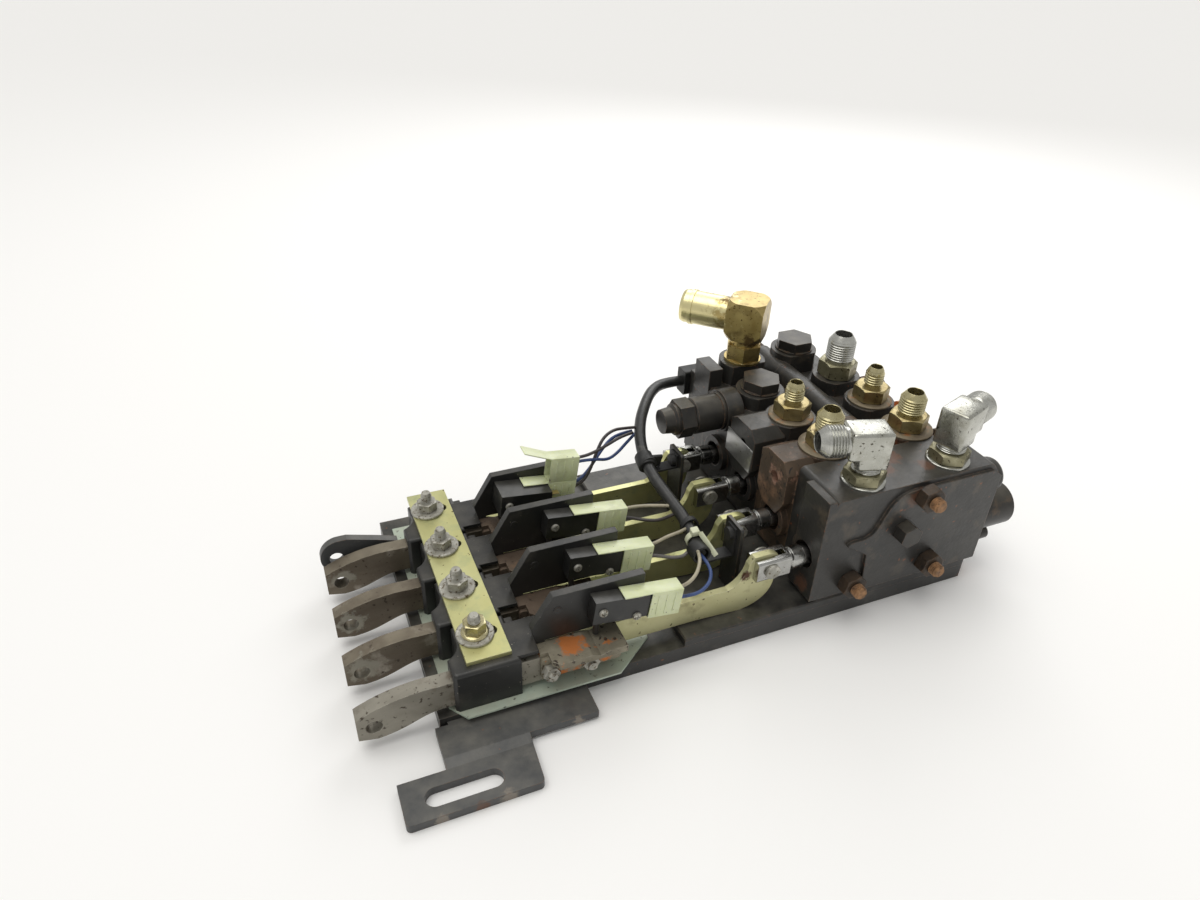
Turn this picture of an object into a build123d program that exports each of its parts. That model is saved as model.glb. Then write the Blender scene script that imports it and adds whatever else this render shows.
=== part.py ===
from build123d import *
from math import cos, pi, radians, sin, sqrt, tan
import os

# A four-lever hydraulic control valve for a lift truck, on its base with the switch-fitted lever linkages.
# X runs along the levers towards the valve, Y across the stations, Z up. Millimetres.
# Sizes are laid out from the line of the clamp studs, half way between the four spools, on the floor.
# The finished pieces have their origin on the floor too, at the middle of the base's left end wall.

os.makedirs("parts", exist_ok=True)

# Stations
PITCH = 44.0  # from one spool to the next, one valve section wide
TRAVEL = 6.5  # spool stroke each way
STATIONS = (("1", -1.5 * PITCH), ("2", -0.5 * PITCH), ("3", 0.5 * PITCH), ("4", 1.5 * PITCH))
RUN_GAP = 0.05  # running clearance of each shaft in its bore, on the radius
SLIDE_GAP = 0.1  # clearance of each flat slide on each side
BOLT_GAP = 0.3  # clearance of each bolt in its hole, on the radius
SEAT_GAP = 0.05  # clearance of a piece pushed into its seat, on the radius

# Base and plates
BASE_X0 = -31.5
BASE_X1 = 388.0
BASE_Y0 = -81.0
BASE_Y1 = 121.0
BASE_H = 12.0
BASE_SHEET = 4.0
BASE_CORNER = 16.0
PAD_X0 = 135.0
PAD_SHEET = 6.0
SLIDE_SHEET = 1.5
slide_top = BASE_H + SLIDE_SHEET
pad_top = BASE_H + PAD_SHEET

# Lever bar and cam
BAR_W = 10.0
BAR_H = 20.0
BAR_END = 88.0
TIP_X = -79.0
TIP_BORE = 10.0
SLOT_FLOOR = 4.5  # block floor under the bar
CAM_T = 3.5
CAM_LEG = 2.5
CAM_X0 = 34.0
CAM_W = 22.4
CAM_LIP = 5.0
NOTCH_X = 70.0
NOTCH_HALF = 6.0
NOTCH_D = 2.2
CAM_BOLTS_X = (39.5, 65.8)
CAM_BOLT = 6.0
bar_bottom = slide_top + SLOT_FLOOR
bar_top = bar_bottom + BAR_H
bar_mid = bar_bottom + BAR_H / 2
cam_top = bar_top + CAM_T

# Link, in the plane of the spool, on the far side of the bar
LINK_T = 5.0
LINK_X0 = 33.0
LINK_H = 19.5
link_bottom = bar_bottom + 2.0
bar_far = -LINK_T / 2
bar_near = bar_far - BAR_W

# Guide block with its tongue and switch board, one moulding
BLOCK_X0 = -20.5
BLOCK_X1 = 21.5
BLOCK_NEAR_WALL = 2.5
BLOCK_FAR = 26.0
BLOCK_EDGE = 2.5
TONGUE_GAP = 0.5
TONGUE_T = 2.5
TONGUE_NEAR = -12.0
TONGUE_FAR = 17.5
TONGUE_L = 12.0  # near part, as far as the switch board
TONGUE_X1 = 40.0
LEDGE_L = 5.5
LEDGE_H = 7.5
LEDGE_DROP = 2.0
BOARD_T = 5.5
BOARD_NEAR = -4.0
BOARD_GAP = 1.7
BOARD_H = 34.3
BOARD_X1 = 107.0
block_near = bar_near - BLOCK_NEAR_WALL
tongue_bottom = cam_top + TONGUE_GAP
block_top = tongue_bottom + TONGUE_T
board_bottom = cam_top + BOARD_GAP
board_top = board_bottom + BOARD_H

# Clamp strip, bolts, washers and nuts
STUD_U = 12.0  # stud line beyond each spool plane
STUD_D = 8.0
STRIP_T = 3.0
STRIP_W = 28.3
STRIP_X0 = -11.0
STRIP_OVER = (21.0, 21.5)  # strip beyond the first and last stud
STRIP_SLOT = 14.0
WASHER_D = 24.0
WASHER_T = 2.0
NUT_AF = 13.0
NUT_H = 6.8
NUT_H_TALL = 9.5
STUD_OVER = 14.5
BOLT_HEAD = 5.3
strip_top = block_top + STRIP_T
washer_top = strip_top + WASHER_T

# Micro switches, their screws, plungers and terminal covers
SWITCH_L = 38.0
SWITCH_H = 17.5
SWITCH_T = 10.3
SWITCH_TILT = 7.0
SWITCH_X = 87.5
SWITCH_RISE = 20.5  # switch centre above the cam
PLUNGER_D = 4.0
PLUNGER_X = 72.0
PLUNGER_GAP = 0.3
PLUNGER_IN = 5.0
PLUNGER_STROKE = 1.5
SCREW_D = 3.0
SCREW_HEAD = 6.0
COVER_WALL = 1.2
COVER_GAP = 0.1
COVER_L = 22.0
COVER_FLAP = 19.0
LAST_SHIFT = -22.5  # the last station's switches stand further left, two deep
switch_z = cam_top + SWITCH_RISE
plunger_bottom = cam_top + PLUNGER_GAP

# Valve sections
VALVE_X0 = 232.0
VALVE_X1 = 376.0
FOOT = 3.5
SPOOL_RISE = 31.5  # spool axis above the section's underside
SECTION_H = 85.5
INLET_W = 36.0
INLET_H = 91.0
PORT_X = (268.0, 340.0)
PORT_D = 14.0
SPOOL_D = 16.0
STUB_D = 14.0
SEAL_POCKET_D = 20.0
SEAL_POCKET = 9.0
section_z = pad_top + FOOT
spool_z = section_z + SPOOL_RISE
port_z = section_z + SECTION_H
section_top = port_z
inlet_z = section_z + INLET_H
SPOOL_IN = 16.0  # spool beyond the section's near joint face
valve_y0 = STATIONS[0][1] - SPOOL_IN
inlet_y = valve_y0 + 4 * PITCH

# Fork
FORK_W = 16.0
FORK_PIN = 8.0
FORK_LEG_X = 11.0  # leg ends ahead of the pin
FORK_SLOT = 13.0  # slot beyond the pin
FORK_L = 27.0  # fork end beyond the pin
FORK_BORE = 10.0
FORK_THREAD = 8.0
pin_x = VALVE_X0 - 31.0
fork_end = pin_x + FORK_L
EYE_R = 10.5

# Spool caps and tie rods
CAP_D = 33.0
CAP_L = 32.0
CAP_WALL = 4.0
TAIL_D = 9.0
TIE_D = 10.0
TIES = ((30.0, 10.5), (95.0, 12.5), (77.0, 75.5))  # along and above each section's lower left corner
TIE_NUT_AF = 17.0
TIE_NUT = 9.0
TIE_OVER = 7.0


def shift(number):
    """How far a station's switch, plunger and cam notch stand from the usual place."""
    return LAST_SHIFT if number == STATIONS[-1][0] else 0


def switch_depths(number):
    """Where each switch of a station starts, across the station: the last has a second one in front."""
    return (BOARD_NEAR, BOARD_NEAR - SWITCH_T) if number == STATIONS[-1][0] else (BOARD_NEAR,)


def side(far_y):
    """A sketch plane facing the near side, at far_y: sketches are in x and z and extrude towards -Y."""
    return Plane.XZ.offset(-far_y)


def hexagon(across_flats):
    """Corner radius of a hexagon."""
    return across_flats / sqrt(3)


def keep(piece, name):
    """Names a finished piece and writes it, placed from the base's left end wall."""
    placed = piece.part.moved(Location((BASE_SHEET / 2 - BASE_X0 - BASE_SHEET, 0, 0)))
    placed.label = name
    export_step(placed, f"parts/{name}.step")
    print(name, len(piece.part.solids()), round(piece.part.volume))


# Base: a folded tray, open below
MOUNT_X = (-27.0, 18.0)  # neck of the mounting plate where it passes the near flange
with BuildPart() as base_channel:
    with BuildSketch():
        with BuildLine():
            Polyline(
                (BASE_X0, BASE_Y0),
                (BASE_X1 - BASE_CORNER, BASE_Y0),
                (BASE_X1, BASE_Y0 + BASE_CORNER),
                (BASE_X1, BASE_Y1 - BASE_CORNER),
                (BASE_X1 - BASE_CORNER, BASE_Y1),
                (BASE_X0, BASE_Y1),
                close=True,
            )
        make_face()
    extrude(amount=BASE_H)
    offset(amount=-BASE_SHEET, openings=base_channel.faces().sort_by(Axis.Z)[0])
    with BuildSketch():
        with Locations(((MOUNT_X[0] + MOUNT_X[1]) / 2, BASE_Y0 + BASE_SHEET / 2)):
            Rectangle(MOUNT_X[1] - MOUNT_X[0] + 1, BASE_SHEET + 1)
    extrude(amount=BASE_H - BASE_SHEET, mode=Mode.SUBTRACT)
    with BuildSketch(Plane.XY.offset(BASE_H)):
        with Locations(*[(0, y + STUD_U) for _, y in STATIONS]):
            Circle(STUD_D / 2 + BOLT_GAP)
    extrude(amount=-BASE_SHEET, mode=Mode.SUBTRACT)
keep(base_channel, "base_channel")

# Raised plate that carries the valve, welded on the base
with BuildPart() as valve_plate:
    with BuildSketch(Plane.XY.offset(BASE_H)):
        with BuildLine():
            Polyline(
                (PAD_X0, BASE_Y0),
                (BASE_X1 - BASE_CORNER, BASE_Y0),
                (BASE_X1, BASE_Y0 + BASE_CORNER),
                (BASE_X1, BASE_Y1 - BASE_CORNER),
                (BASE_X1 - BASE_CORNER, BASE_Y1),
                (PAD_X0, BASE_Y1),
                close=True,
            )
        make_face()
    extrude(amount=PAD_SHEET)
    chamfer(valve_plate.edges().group_by(Axis.Z)[-1], length=1)
keep(valve_plate, "valve_plate")

# Pale sheet that the guide blocks slide onto and are clamped down on
SLIDE_Y = (-87.0, 108.0)
with BuildPart() as slide_plate:
    with BuildSketch(Plane.XY.offset(BASE_H)):
        with BuildLine():
            Polyline(
                (-15, SLIDE_Y[0]),
                (86, SLIDE_Y[0]),
                (115, SLIDE_Y[0] + 22),
                (115, SLIDE_Y[1] - 22),
                (86, SLIDE_Y[1]),
                (-24, SLIDE_Y[1]),
                (-24, SLIDE_Y[0] + 12),
                close=True,
            )
        make_face()
        with Locations(*[(0, y + STUD_U) for _, y in STATIONS]):
            Circle(STUD_D / 2 + BOLT_GAP, mode=Mode.SUBTRACT)
    extrude(amount=SLIDE_SHEET)
keep(slide_plate, "slide_plate")

# Slotted mounting plate, joggled down to the floor at its tab
MOUNT_T = 6.0
MOUNT_SLOT = (46.0, 12.5)
mount_top = BASE_H - BASE_SHEET
neck_end = BASE_Y0 + 15
with BuildPart() as mounting_plate:
    with BuildSketch(Plane.YZ.offset(-64)):
        with BuildLine():
            Polyline(
                (-140, 0),
                (-112, 0),
                (-106, mount_top - MOUNT_T),
                (neck_end, mount_top - MOUNT_T),
                (neck_end, mount_top),
                (-106, mount_top),
                (-112, MOUNT_T),
                (-140, MOUNT_T),
                close=True,
            )
        make_face()
    extrude(amount=64 + 64)
    with BuildSketch():
        with BuildLine():
            Polyline(
                (-64, -140),
                (16, -140),
                (18, -106),
                (63, -106),
                (63, BASE_Y0 - 2),
                (MOUNT_X[1], BASE_Y0 - 2),
                (MOUNT_X[1], neck_end),
                (MOUNT_X[0], neck_end),
                (MOUNT_X[0], BASE_Y0 - 2),
                (-35, BASE_Y0 - 2),
                (-35, -112),
                (-64, -112),
                close=True,
            )
        make_face()
        with Locations((-28, -127)):
            SlotOverall(MOUNT_SLOT[0], MOUNT_SLOT[1], mode=Mode.SUBTRACT)
    extrude(amount=BASE_H, mode=Mode.INTERSECT)
    fillet(mounting_plate.edges().filter_by(Axis.Z).group_by(Axis.Y)[0], radius=3)
keep(mounting_plate, "mounting_plate")

# Lug plate standing on edge at the base's left end
LUG_T = 6.0
LUG_Y = STATIONS[-1][1] + 3.0  # just past the last lever bar
LUG_EYE_X = -66.0
LUG_EYE_R = 14.0
LUG_BORE = 10.0
LUG_BORE_AT = (-69.0, 29.0)
with BuildPart() as lug_plate:
    with BuildSketch(side(LUG_Y + LUG_T)):
        with BuildLine():
            Polyline(
                (LUG_EYE_X, 30 - LUG_EYE_R),
                (-46, 30 - LUG_EYE_R),
                (-40, 4),
                (BASE_X0, 4),
                (BASE_X0, BASE_H),
                (-25, BASE_H),
                (-25, 33),
                (-40, 38),
                (-60, 30 + LUG_EYE_R),
                (LUG_EYE_X, 30 + LUG_EYE_R),
                close=True,
            )
        make_face()
        with Locations((LUG_EYE_X, 30)):
            Circle(LUG_EYE_R)
    extrude(amount=LUG_T)
    with BuildSketch(side(LUG_Y + LUG_T)):
        with Locations(LUG_BORE_AT):
            Circle(LUG_BORE / 2)
    extrude(amount=LUG_T, mode=Mode.SUBTRACT)
keep(lug_plate, "lug_plate")

# Stations: guide block, lever bar, cam, link, fork, fasteners, spool and plunger
for number, y in STATIONS:
    with BuildPart() as guide_block:
        with BuildSketch(Plane.XY.offset(slide_top)):
            with BuildLine():
                Polyline(
                    (BLOCK_X0 + 8, y + BLOCK_FAR),
                    (BLOCK_X1, y + BLOCK_FAR),
                    (BLOCK_X1, y + block_near),
                    (BLOCK_X0 + 2, y + block_near),
                    (BLOCK_X0, y + block_near + 2),
                    (BLOCK_X0, y + 1),
                )
                ThreePointArc((BLOCK_X0, y + 1), (BLOCK_X0 + 7, y + 8), (BLOCK_X0 + 8, y + 17))
                Line((BLOCK_X0 + 8, y + 17), (BLOCK_X0 + 8, y + BLOCK_FAR))
            make_face()
        extrude(amount=block_top - slide_top)
        fillet(guide_block.faces().sort_by(Axis.Z)[-1].edges(), radius=BLOCK_EDGE)
        # tongue over the cam, square ended, and the lower ledge beyond it
        with BuildSketch(Plane.XY.offset(tongue_bottom)):
            with BuildLine():
                Polyline(
                    (BLOCK_X1 - BLOCK_EDGE, y + TONGUE_NEAR),
                    (BLOCK_X1 + TONGUE_L, y + TONGUE_NEAR),
                    (BLOCK_X1 + TONGUE_L, y + BOARD_NEAR),
                    (TONGUE_X1, y + BOARD_NEAR),
                    (TONGUE_X1, y + TONGUE_FAR),
                    (BLOCK_X1 - BLOCK_EDGE, y + TONGUE_FAR),
                    close=True,
                )
            make_face()
        extrude(amount=TONGUE_T)
        with BuildSketch(Plane.XY.offset(tongue_bottom - LEDGE_DROP)):
            with Locations((BLOCK_X1 + LEDGE_L / 2 - 1, y + (TONGUE_FAR + BLOCK_FAR) / 2)):
                Rectangle(LEDGE_L + 2, BLOCK_FAR - TONGUE_FAR)
        extrude(amount=-LEDGE_H)
        # switch board standing over the cam's edge
        with BuildSketch(side(y + BOARD_NEAR + BOARD_T)):
            with BuildLine():
                Polyline(
                    (31.3, board_bottom + 10.6),
                    (34, tongue_bottom),
                    (TONGUE_X1, tongue_bottom),
                    (TONGUE_X1, board_bottom),
                    (BOARD_X1, board_bottom),
                    (BOARD_X1, board_top),
                    (45.5, board_top),
                    close=True,
                )
            make_face()
        extrude(amount=BOARD_T)
        # bar slot and stud hole
        with BuildSketch(Plane.YZ.offset(BLOCK_X0 - 1)):
            with Locations((y + bar_far - BAR_W / 2, bar_mid)):
                Rectangle(BAR_W + 2 * SLIDE_GAP, BAR_H + 2 * SLIDE_GAP)
        extrude(amount=BLOCK_X1 - BLOCK_X0 + 2, mode=Mode.SUBTRACT)
        with BuildSketch(Plane.XY.offset(slide_top)):
            with Locations((0, y + STUD_U)):
                Circle(STUD_D / 2 + BOLT_GAP)
        extrude(amount=block_top, mode=Mode.SUBTRACT)
    keep(guide_block, f"guide_block_{number}")

    # flat lever bar with its cranked, drilled tip
    with BuildPart() as lever_arm:
        with BuildSketch(side(y + bar_far)):
            with BuildLine():
                Polyline((-28, bar_bottom), (BAR_END, bar_bottom), (BAR_END, bar_top), (-30, bar_top))
                ThreePointArc((-30, bar_top), (-56, bar_top - 1.6), (TIP_X, bar_top - 9.5))
                Polyline((TIP_X, bar_top - 9.5), (TIP_X, bar_bottom - 7), (TIP_X + 11, bar_bottom - 9.5))
                Spline(
                    (TIP_X + 11, bar_bottom - 9.5),
                    (-48, bar_bottom - 5.2),
                    (-28, bar_bottom),
                    tangents=((1, 0.05), (1, 0)),
                )
            make_face()
            with Locations((TIP_X + TIP_BORE, bar_bottom + 1.5)):
                Circle(TIP_BORE / 2, mode=Mode.SUBTRACT)
            with Locations(*[(x, bar_mid) for x in CAM_BOLTS_X]):
                Circle(CAM_BOLT / 2 + BOLT_GAP, mode=Mode.SUBTRACT)
        extrude(amount=BAR_W)
    keep(lever_arm, f"lever_arm_{number}")

    # cam: flange with a folded near lip, a V notch for the plunger and a leg down the bar
    with BuildPart() as cam:
        cam_far = bar_far - 0.1
        cam_near = cam_far - CAM_W
        notch_x = NOTCH_X + shift(number)
        with BuildSketch(Plane.XY.offset(bar_top)):
            with BuildLine():
                Polyline(
                    (CAM_X0, y + cam_far),
                    (BAR_END, y + cam_far),
                    (BAR_END, y + cam_near),
                    (CAM_X0 + 9, y + cam_near),
                    (CAM_X0 + 5, y + cam_near + 4),
                    (CAM_X0 + 5, y + cam_far - BAR_W),
                    (CAM_X0, y + cam_far - BAR_W),
                    close=True,
                )
            make_face()
        extrude(amount=CAM_T)
        with BuildSketch(Plane.XY.offset(cam_top - CAM_LIP)):
            with Locations(((CAM_X0 + 9 + BAR_END) / 2, y + cam_near + 1.5)):
                Rectangle(BAR_END - CAM_X0 - 9, 3)
        extrude(amount=CAM_LIP)
        with BuildSketch(side(y + bar_near)):
            with Locations(((CAM_X0 + BAR_END) / 2, (bar_bottom + 3 + bar_top) / 2)):
                RectangleRounded(BAR_END - CAM_X0, BAR_H - 3, 2)
            with Locations(*[(x, bar_mid) for x in CAM_BOLTS_X]):
                Circle(CAM_BOLT / 2 + BOLT_GAP, mode=Mode.SUBTRACT)
        extrude(amount=CAM_LEG)
        with BuildSketch(side(y + cam_far + 1)):
            with BuildLine():
                Polyline(
                    (notch_x - NOTCH_HALF, cam_top),
                    (notch_x, cam_top - NOTCH_D),
                    (notch_x + NOTCH_HALF, cam_top),
                    close=True,
                )
            make_face()
        extrude(amount=CAM_W + 2, mode=Mode.SUBTRACT)
    keep(cam, f"cam_{number}")

    # link plate, swept up to its eye in the fork
    with BuildPart() as link:
        with BuildSketch(side(y + LINK_T / 2)):
            with BuildLine():
                Polyline((pin_x - 17, link_bottom - 2), (pin_x - 52, link_bottom), (LINK_X0, link_bottom))
                Polyline(
                    (LINK_X0, link_bottom),
                    (LINK_X0, link_bottom + LINK_H - 4),
                    (LINK_X0 + 4, link_bottom + LINK_H),
                    (pin_x - 29, link_bottom + LINK_H),
                )
                ThreePointArc(
                    (pin_x - 29, link_bottom + LINK_H),
                    (pin_x - 20.5, link_bottom + LINK_H + 6),
                    (pin_x - 15, spool_z + 5),
                )
                Line((pin_x - 15, spool_z + 5), (pin_x - EYE_R - 1, spool_z + EYE_R))
                Line((pin_x - EYE_R - 1, spool_z + EYE_R), (pin_x, spool_z + EYE_R))
                ThreePointArc(
                    (pin_x, spool_z + EYE_R),
                    (pin_x + EYE_R, spool_z),
                    (pin_x + EYE_R * cos(radians(50)), spool_z - EYE_R * sin(radians(50))),
                )
                Spline(
                    (pin_x + EYE_R * cos(radians(50)), spool_z - EYE_R * sin(radians(50))),
                    (pin_x + 4.5, link_bottom + 11),
                    (pin_x - 17, link_bottom - 2),
                )
            make_face()
            with Locations((pin_x, spool_z)):
                Circle(FORK_PIN / 2, mode=Mode.SUBTRACT)
            with Locations(*[(x, bar_mid) for x in CAM_BOLTS_X]):
                Circle(CAM_BOLT / 2 + BOLT_GAP, mode=Mode.SUBTRACT)
        extrude(amount=LINK_T)
    keep(link, f"link_{number}")

    # fork, square at its legs and turned at its neck
    with BuildPart() as fork:
        with BuildSketch(Plane.YZ.offset(pin_x - FORK_LEG_X)):
            with Locations((y, spool_z)):
                RectangleRounded(FORK_W, FORK_W, 2)
        extrude(amount=FORK_LEG_X + FORK_SLOT + 2)
        with BuildSketch(side(y)):
            with BuildLine():
                Polyline(
                    (pin_x + FORK_SLOT + 2, spool_z),
                    (pin_x + FORK_SLOT + 2, spool_z + FORK_W / 2 - 1.2),
                    (pin_x + FORK_SLOT + 4, spool_z + FORK_W / 2 - 1.2),
                    (pin_x + FORK_SLOT + 5, spool_z + FORK_W / 2),
                    (fork_end - 1, spool_z + FORK_W / 2),
                    (fork_end, spool_z + FORK_W / 2 - 1),
                    (fork_end, spool_z),
                    close=True,
                )
            make_face()
        revolve(axis=Axis((0, y, spool_z), (1, 0, 0)))
        with BuildSketch(side(y + LINK_T / 2 + SLIDE_GAP)):
            with Locations((pin_x + (FORK_SLOT - FORK_LEG_X - 2) / 2, spool_z)):
                Rectangle(FORK_LEG_X + FORK_SLOT + 2, FORK_W + 2)
        extrude(amount=LINK_T + 2 * SLIDE_GAP, mode=Mode.SUBTRACT)
        with BuildSketch(side(y + FORK_W)):
            with Locations((pin_x, spool_z)):
                Circle(FORK_PIN / 2)
        extrude(amount=2 * FORK_W, mode=Mode.SUBTRACT)
        with BuildSketch(Plane.YZ.offset(fork_end - FORK_THREAD)):
            with Locations((y, spool_z)):
                Circle(FORK_BORE / 2)
        extrude(amount=FORK_THREAD, mode=Mode.SUBTRACT)
    keep(fork, f"fork_{number}")

    # fork pin with washer and split ring, and the two bolts through link, bar and cam leg
    with BuildPart() as link_fasteners:
        pin_end = FORK_W / 2 + 4
        with BuildSketch(side(y + pin_end)):
            with Locations((pin_x, spool_z)):
                Circle(FORK_PIN / 2 - SEAT_GAP)
        extrude(amount=pin_end + FORK_W / 2)
        with BuildSketch(side(y - FORK_W / 2)):
            with Locations((pin_x, spool_z)):
                Circle(FORK_PIN / 2 + 1.5)
        extrude(amount=2)
        with BuildSketch(side(y + FORK_W / 2 + 1.2)):
            with Locations((pin_x, spool_z)):
                Circle(FORK_PIN / 2 + 3.5)
        extrude(amount=1.2)
        with BuildSketch(Plane.YZ.offset(pin_x)):
            with Locations((y + pin_end - 1.5, spool_z + FORK_PIN / 2 + 0.3)):
                Circle(0.9)
        revolve(axis=Axis((pin_x, y, spool_z), (0, 1, 0)))
        for x in CAM_BOLTS_X:
            with BuildSketch(side(y + LINK_T / 2 + 4)):
                with Locations((x, bar_mid)):
                    RegularPolygon(hexagon(10), 6)
            extrude(amount=4)
            with BuildSketch(side(y + LINK_T / 2)):
                with Locations((x, bar_mid)):
                    Circle(CAM_BOLT / 2)
            extrude(amount=LINK_T + BAR_W + CAM_LEG + 7.5)
            with BuildSketch(side(y + bar_near - CAM_LEG)):
                with Locations((x, bar_mid)):
                    RegularPolygon(hexagon(10), 6)
            extrude(amount=5)
    keep(link_fasteners, f"link_fasteners_{number}")

    # spool: threaded end, stub, lands and tail
    with BuildPart() as spool:
        with BuildSketch(side(y)):
            with BuildLine():
                Polyline(
                    (fork_end - FORK_THREAD, spool_z),
                    (fork_end - FORK_THREAD, spool_z + FORK_BORE / 2 - SEAT_GAP),
                    (fork_end, spool_z + FORK_BORE / 2 - SEAT_GAP),
                    (fork_end, spool_z + STUB_D / 2),
                    (VALVE_X0 + SEAL_POCKET + TRAVEL, spool_z + STUB_D / 2),
                    (VALVE_X0 + SEAL_POCKET + TRAVEL + 1, spool_z + SPOOL_D / 2),
                    (PORT_X[0] - 6, spool_z + SPOOL_D / 2),
                    (PORT_X[0] - 3, spool_z + SPOOL_D / 2 - 2.5),
                    (PORT_X[0] + 9, spool_z + SPOOL_D / 2 - 2.5),
                    (PORT_X[0] + 12, spool_z + SPOOL_D / 2),
                    (PORT_X[1] - 12, spool_z + SPOOL_D / 2),
                    (PORT_X[1] - 9, spool_z + SPOOL_D / 2 - 2.5),
                    (PORT_X[1] + 3, spool_z + SPOOL_D / 2 - 2.5),
                    (PORT_X[1] + 6, spool_z + SPOOL_D / 2),
                    (VALVE_X1 - TRAVEL, spool_z + SPOOL_D / 2),
                    (VALVE_X1 - TRAVEL, spool_z + TAIL_D / 2),
                    (VALVE_X1 + CAP_L - CAP_WALL - TRAVEL - 2, spool_z + TAIL_D / 2),
                    (VALVE_X1 + CAP_L - CAP_WALL - TRAVEL - 2, spool_z),
                    close=True,
                )
            make_face()
        revolve(axis=Axis((0, y, spool_z), (1, 0, 0)))
    keep(spool, f"spool_{number}")

    # switch plunger over the cam, one under each switch
    with BuildPart() as plunger:
        with BuildSketch(Plane.XY.offset(plunger_bottom)):
            with Locations(
                *[(PLUNGER_X + shift(number), y + far_u - SWITCH_T / 2) for far_u in switch_depths(number)]
            ):
                Circle(PLUNGER_D / 2)
        extrude(amount=switch_z - SWITCH_H / 2 + PLUNGER_IN - plunger_bottom)
        fillet(plunger.edges().group_by(Axis.Z)[0], radius=PLUNGER_D / 2 - 0.3)
    keep(plunger, f"plunger_{number}")

# Clamp strip with a slot for each stud
with BuildPart() as clamp_strip:
    strip_y0 = STATIONS[0][1] + STUD_U - STRIP_OVER[0]
    strip_y1 = STATIONS[-1][1] + STUD_U + STRIP_OVER[1]
    with BuildSketch(Plane.XY.offset(block_top)):
        with Locations((STRIP_X0 + STRIP_W / 2, (strip_y0 + strip_y1) / 2)):
            Rectangle(STRIP_W, strip_y1 - strip_y0)
        with Locations(*[((STRIP_SLOT - STUD_D) / 2 + 2, y + STUD_U) for _, y in STATIONS]):
            SlotOverall(STRIP_SLOT + 4, STUD_D + 2 * BOLT_GAP, mode=Mode.SUBTRACT)
    extrude(amount=STRIP_T)
keep(clamp_strip, "clamp_strip")

# Clamp bolts from under the base, and their washers and nuts, the first one taller
with BuildPart() as clamp_bolts:
    for _, y in STATIONS:
        with BuildSketch(Plane.XY.offset(BASE_H - BASE_SHEET)):
            with Locations((0, y + STUD_U)):
                RegularPolygon(hexagon(NUT_AF), 6)
        extrude(amount=-BOLT_HEAD)
        with BuildSketch(Plane.XY.offset(BASE_H - BASE_SHEET)):
            with Locations((0, y + STUD_U)):
                Circle(STUD_D / 2)
        extrude(amount=washer_top + STUD_OVER - BASE_H + BASE_SHEET)
    chamfer(clamp_bolts.edges().group_by(Axis.Z)[-1], length=1)
keep(clamp_bolts, "clamp_bolts")

with BuildPart() as clamp_nuts:
    for number, y in STATIONS:
        with BuildSketch(Plane.XY.offset(strip_top)):
            with Locations((0, y + STUD_U)):
                Circle(WASHER_D / 2)
                Circle(STUD_D / 2 + SEAT_GAP, mode=Mode.SUBTRACT)
        extrude(amount=WASHER_T)
        with BuildSketch(Plane.XY.offset(washer_top)):
            with Locations((0, y + STUD_U)):
                RegularPolygon(hexagon(NUT_AF), 6)
                Circle(STUD_D / 2 + SEAT_GAP, mode=Mode.SUBTRACT)
        extrude(amount=NUT_H_TALL if number == "1" else NUT_H)
keep(clamp_nuts, "clamp_nuts")


def switch_plane(number, y, far_u):
    """The tilted plane of a switch, facing the near side, its origin at the switch's centre."""
    tilt = radians(SWITCH_TILT)
    centre = (SWITCH_X + shift(number), y + far_u, switch_z)
    return Plane(centre, x_dir=(cos(tilt), 0, -sin(tilt)), z_dir=(0, -1, 0))


SCREWS = ((-13.0, 0.5), (11.0, -7.0))  # from the switch's centre, along and across it
with BuildPart() as switches:
    for number, y in STATIONS:
        for far_u in switch_depths(number):
            with BuildSketch(switch_plane(number, y, far_u)):
                Rectangle(SWITCH_L, SWITCH_H)
                with Locations(*SCREWS):
                    Circle(SCREW_D / 2 + BOLT_GAP, mode=Mode.SUBTRACT)
            extrude(amount=SWITCH_T)
            with BuildSketch(Plane.XY.offset(plunger_bottom)):
                with Locations((PLUNGER_X + shift(number), y + far_u - SWITCH_T / 2)):
                    Circle(PLUNGER_D / 2 + SLIDE_GAP)
            well = switch_z - SWITCH_H / 2 + PLUNGER_IN + PLUNGER_STROKE + 0.5 - plunger_bottom
            extrude(amount=well, mode=Mode.SUBTRACT)
keep(switches, "switches")

with BuildPart() as switch_screws:
    for number, y in STATIONS:
        stack = SWITCH_T * len(switch_depths(number))
        with BuildSketch(switch_plane(number, y, BOARD_NEAR)):
            with Locations(*SCREWS):
                Circle(SCREW_D / 2)
        extrude(amount=stack)
        with BuildSketch(switch_plane(number, y, BOARD_NEAR - stack)):
            with Locations(*SCREWS):
                Circle(SCREW_HEAD / 2)
        extrude(amount=2)
keep(switch_screws, "switch_screws")

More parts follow.
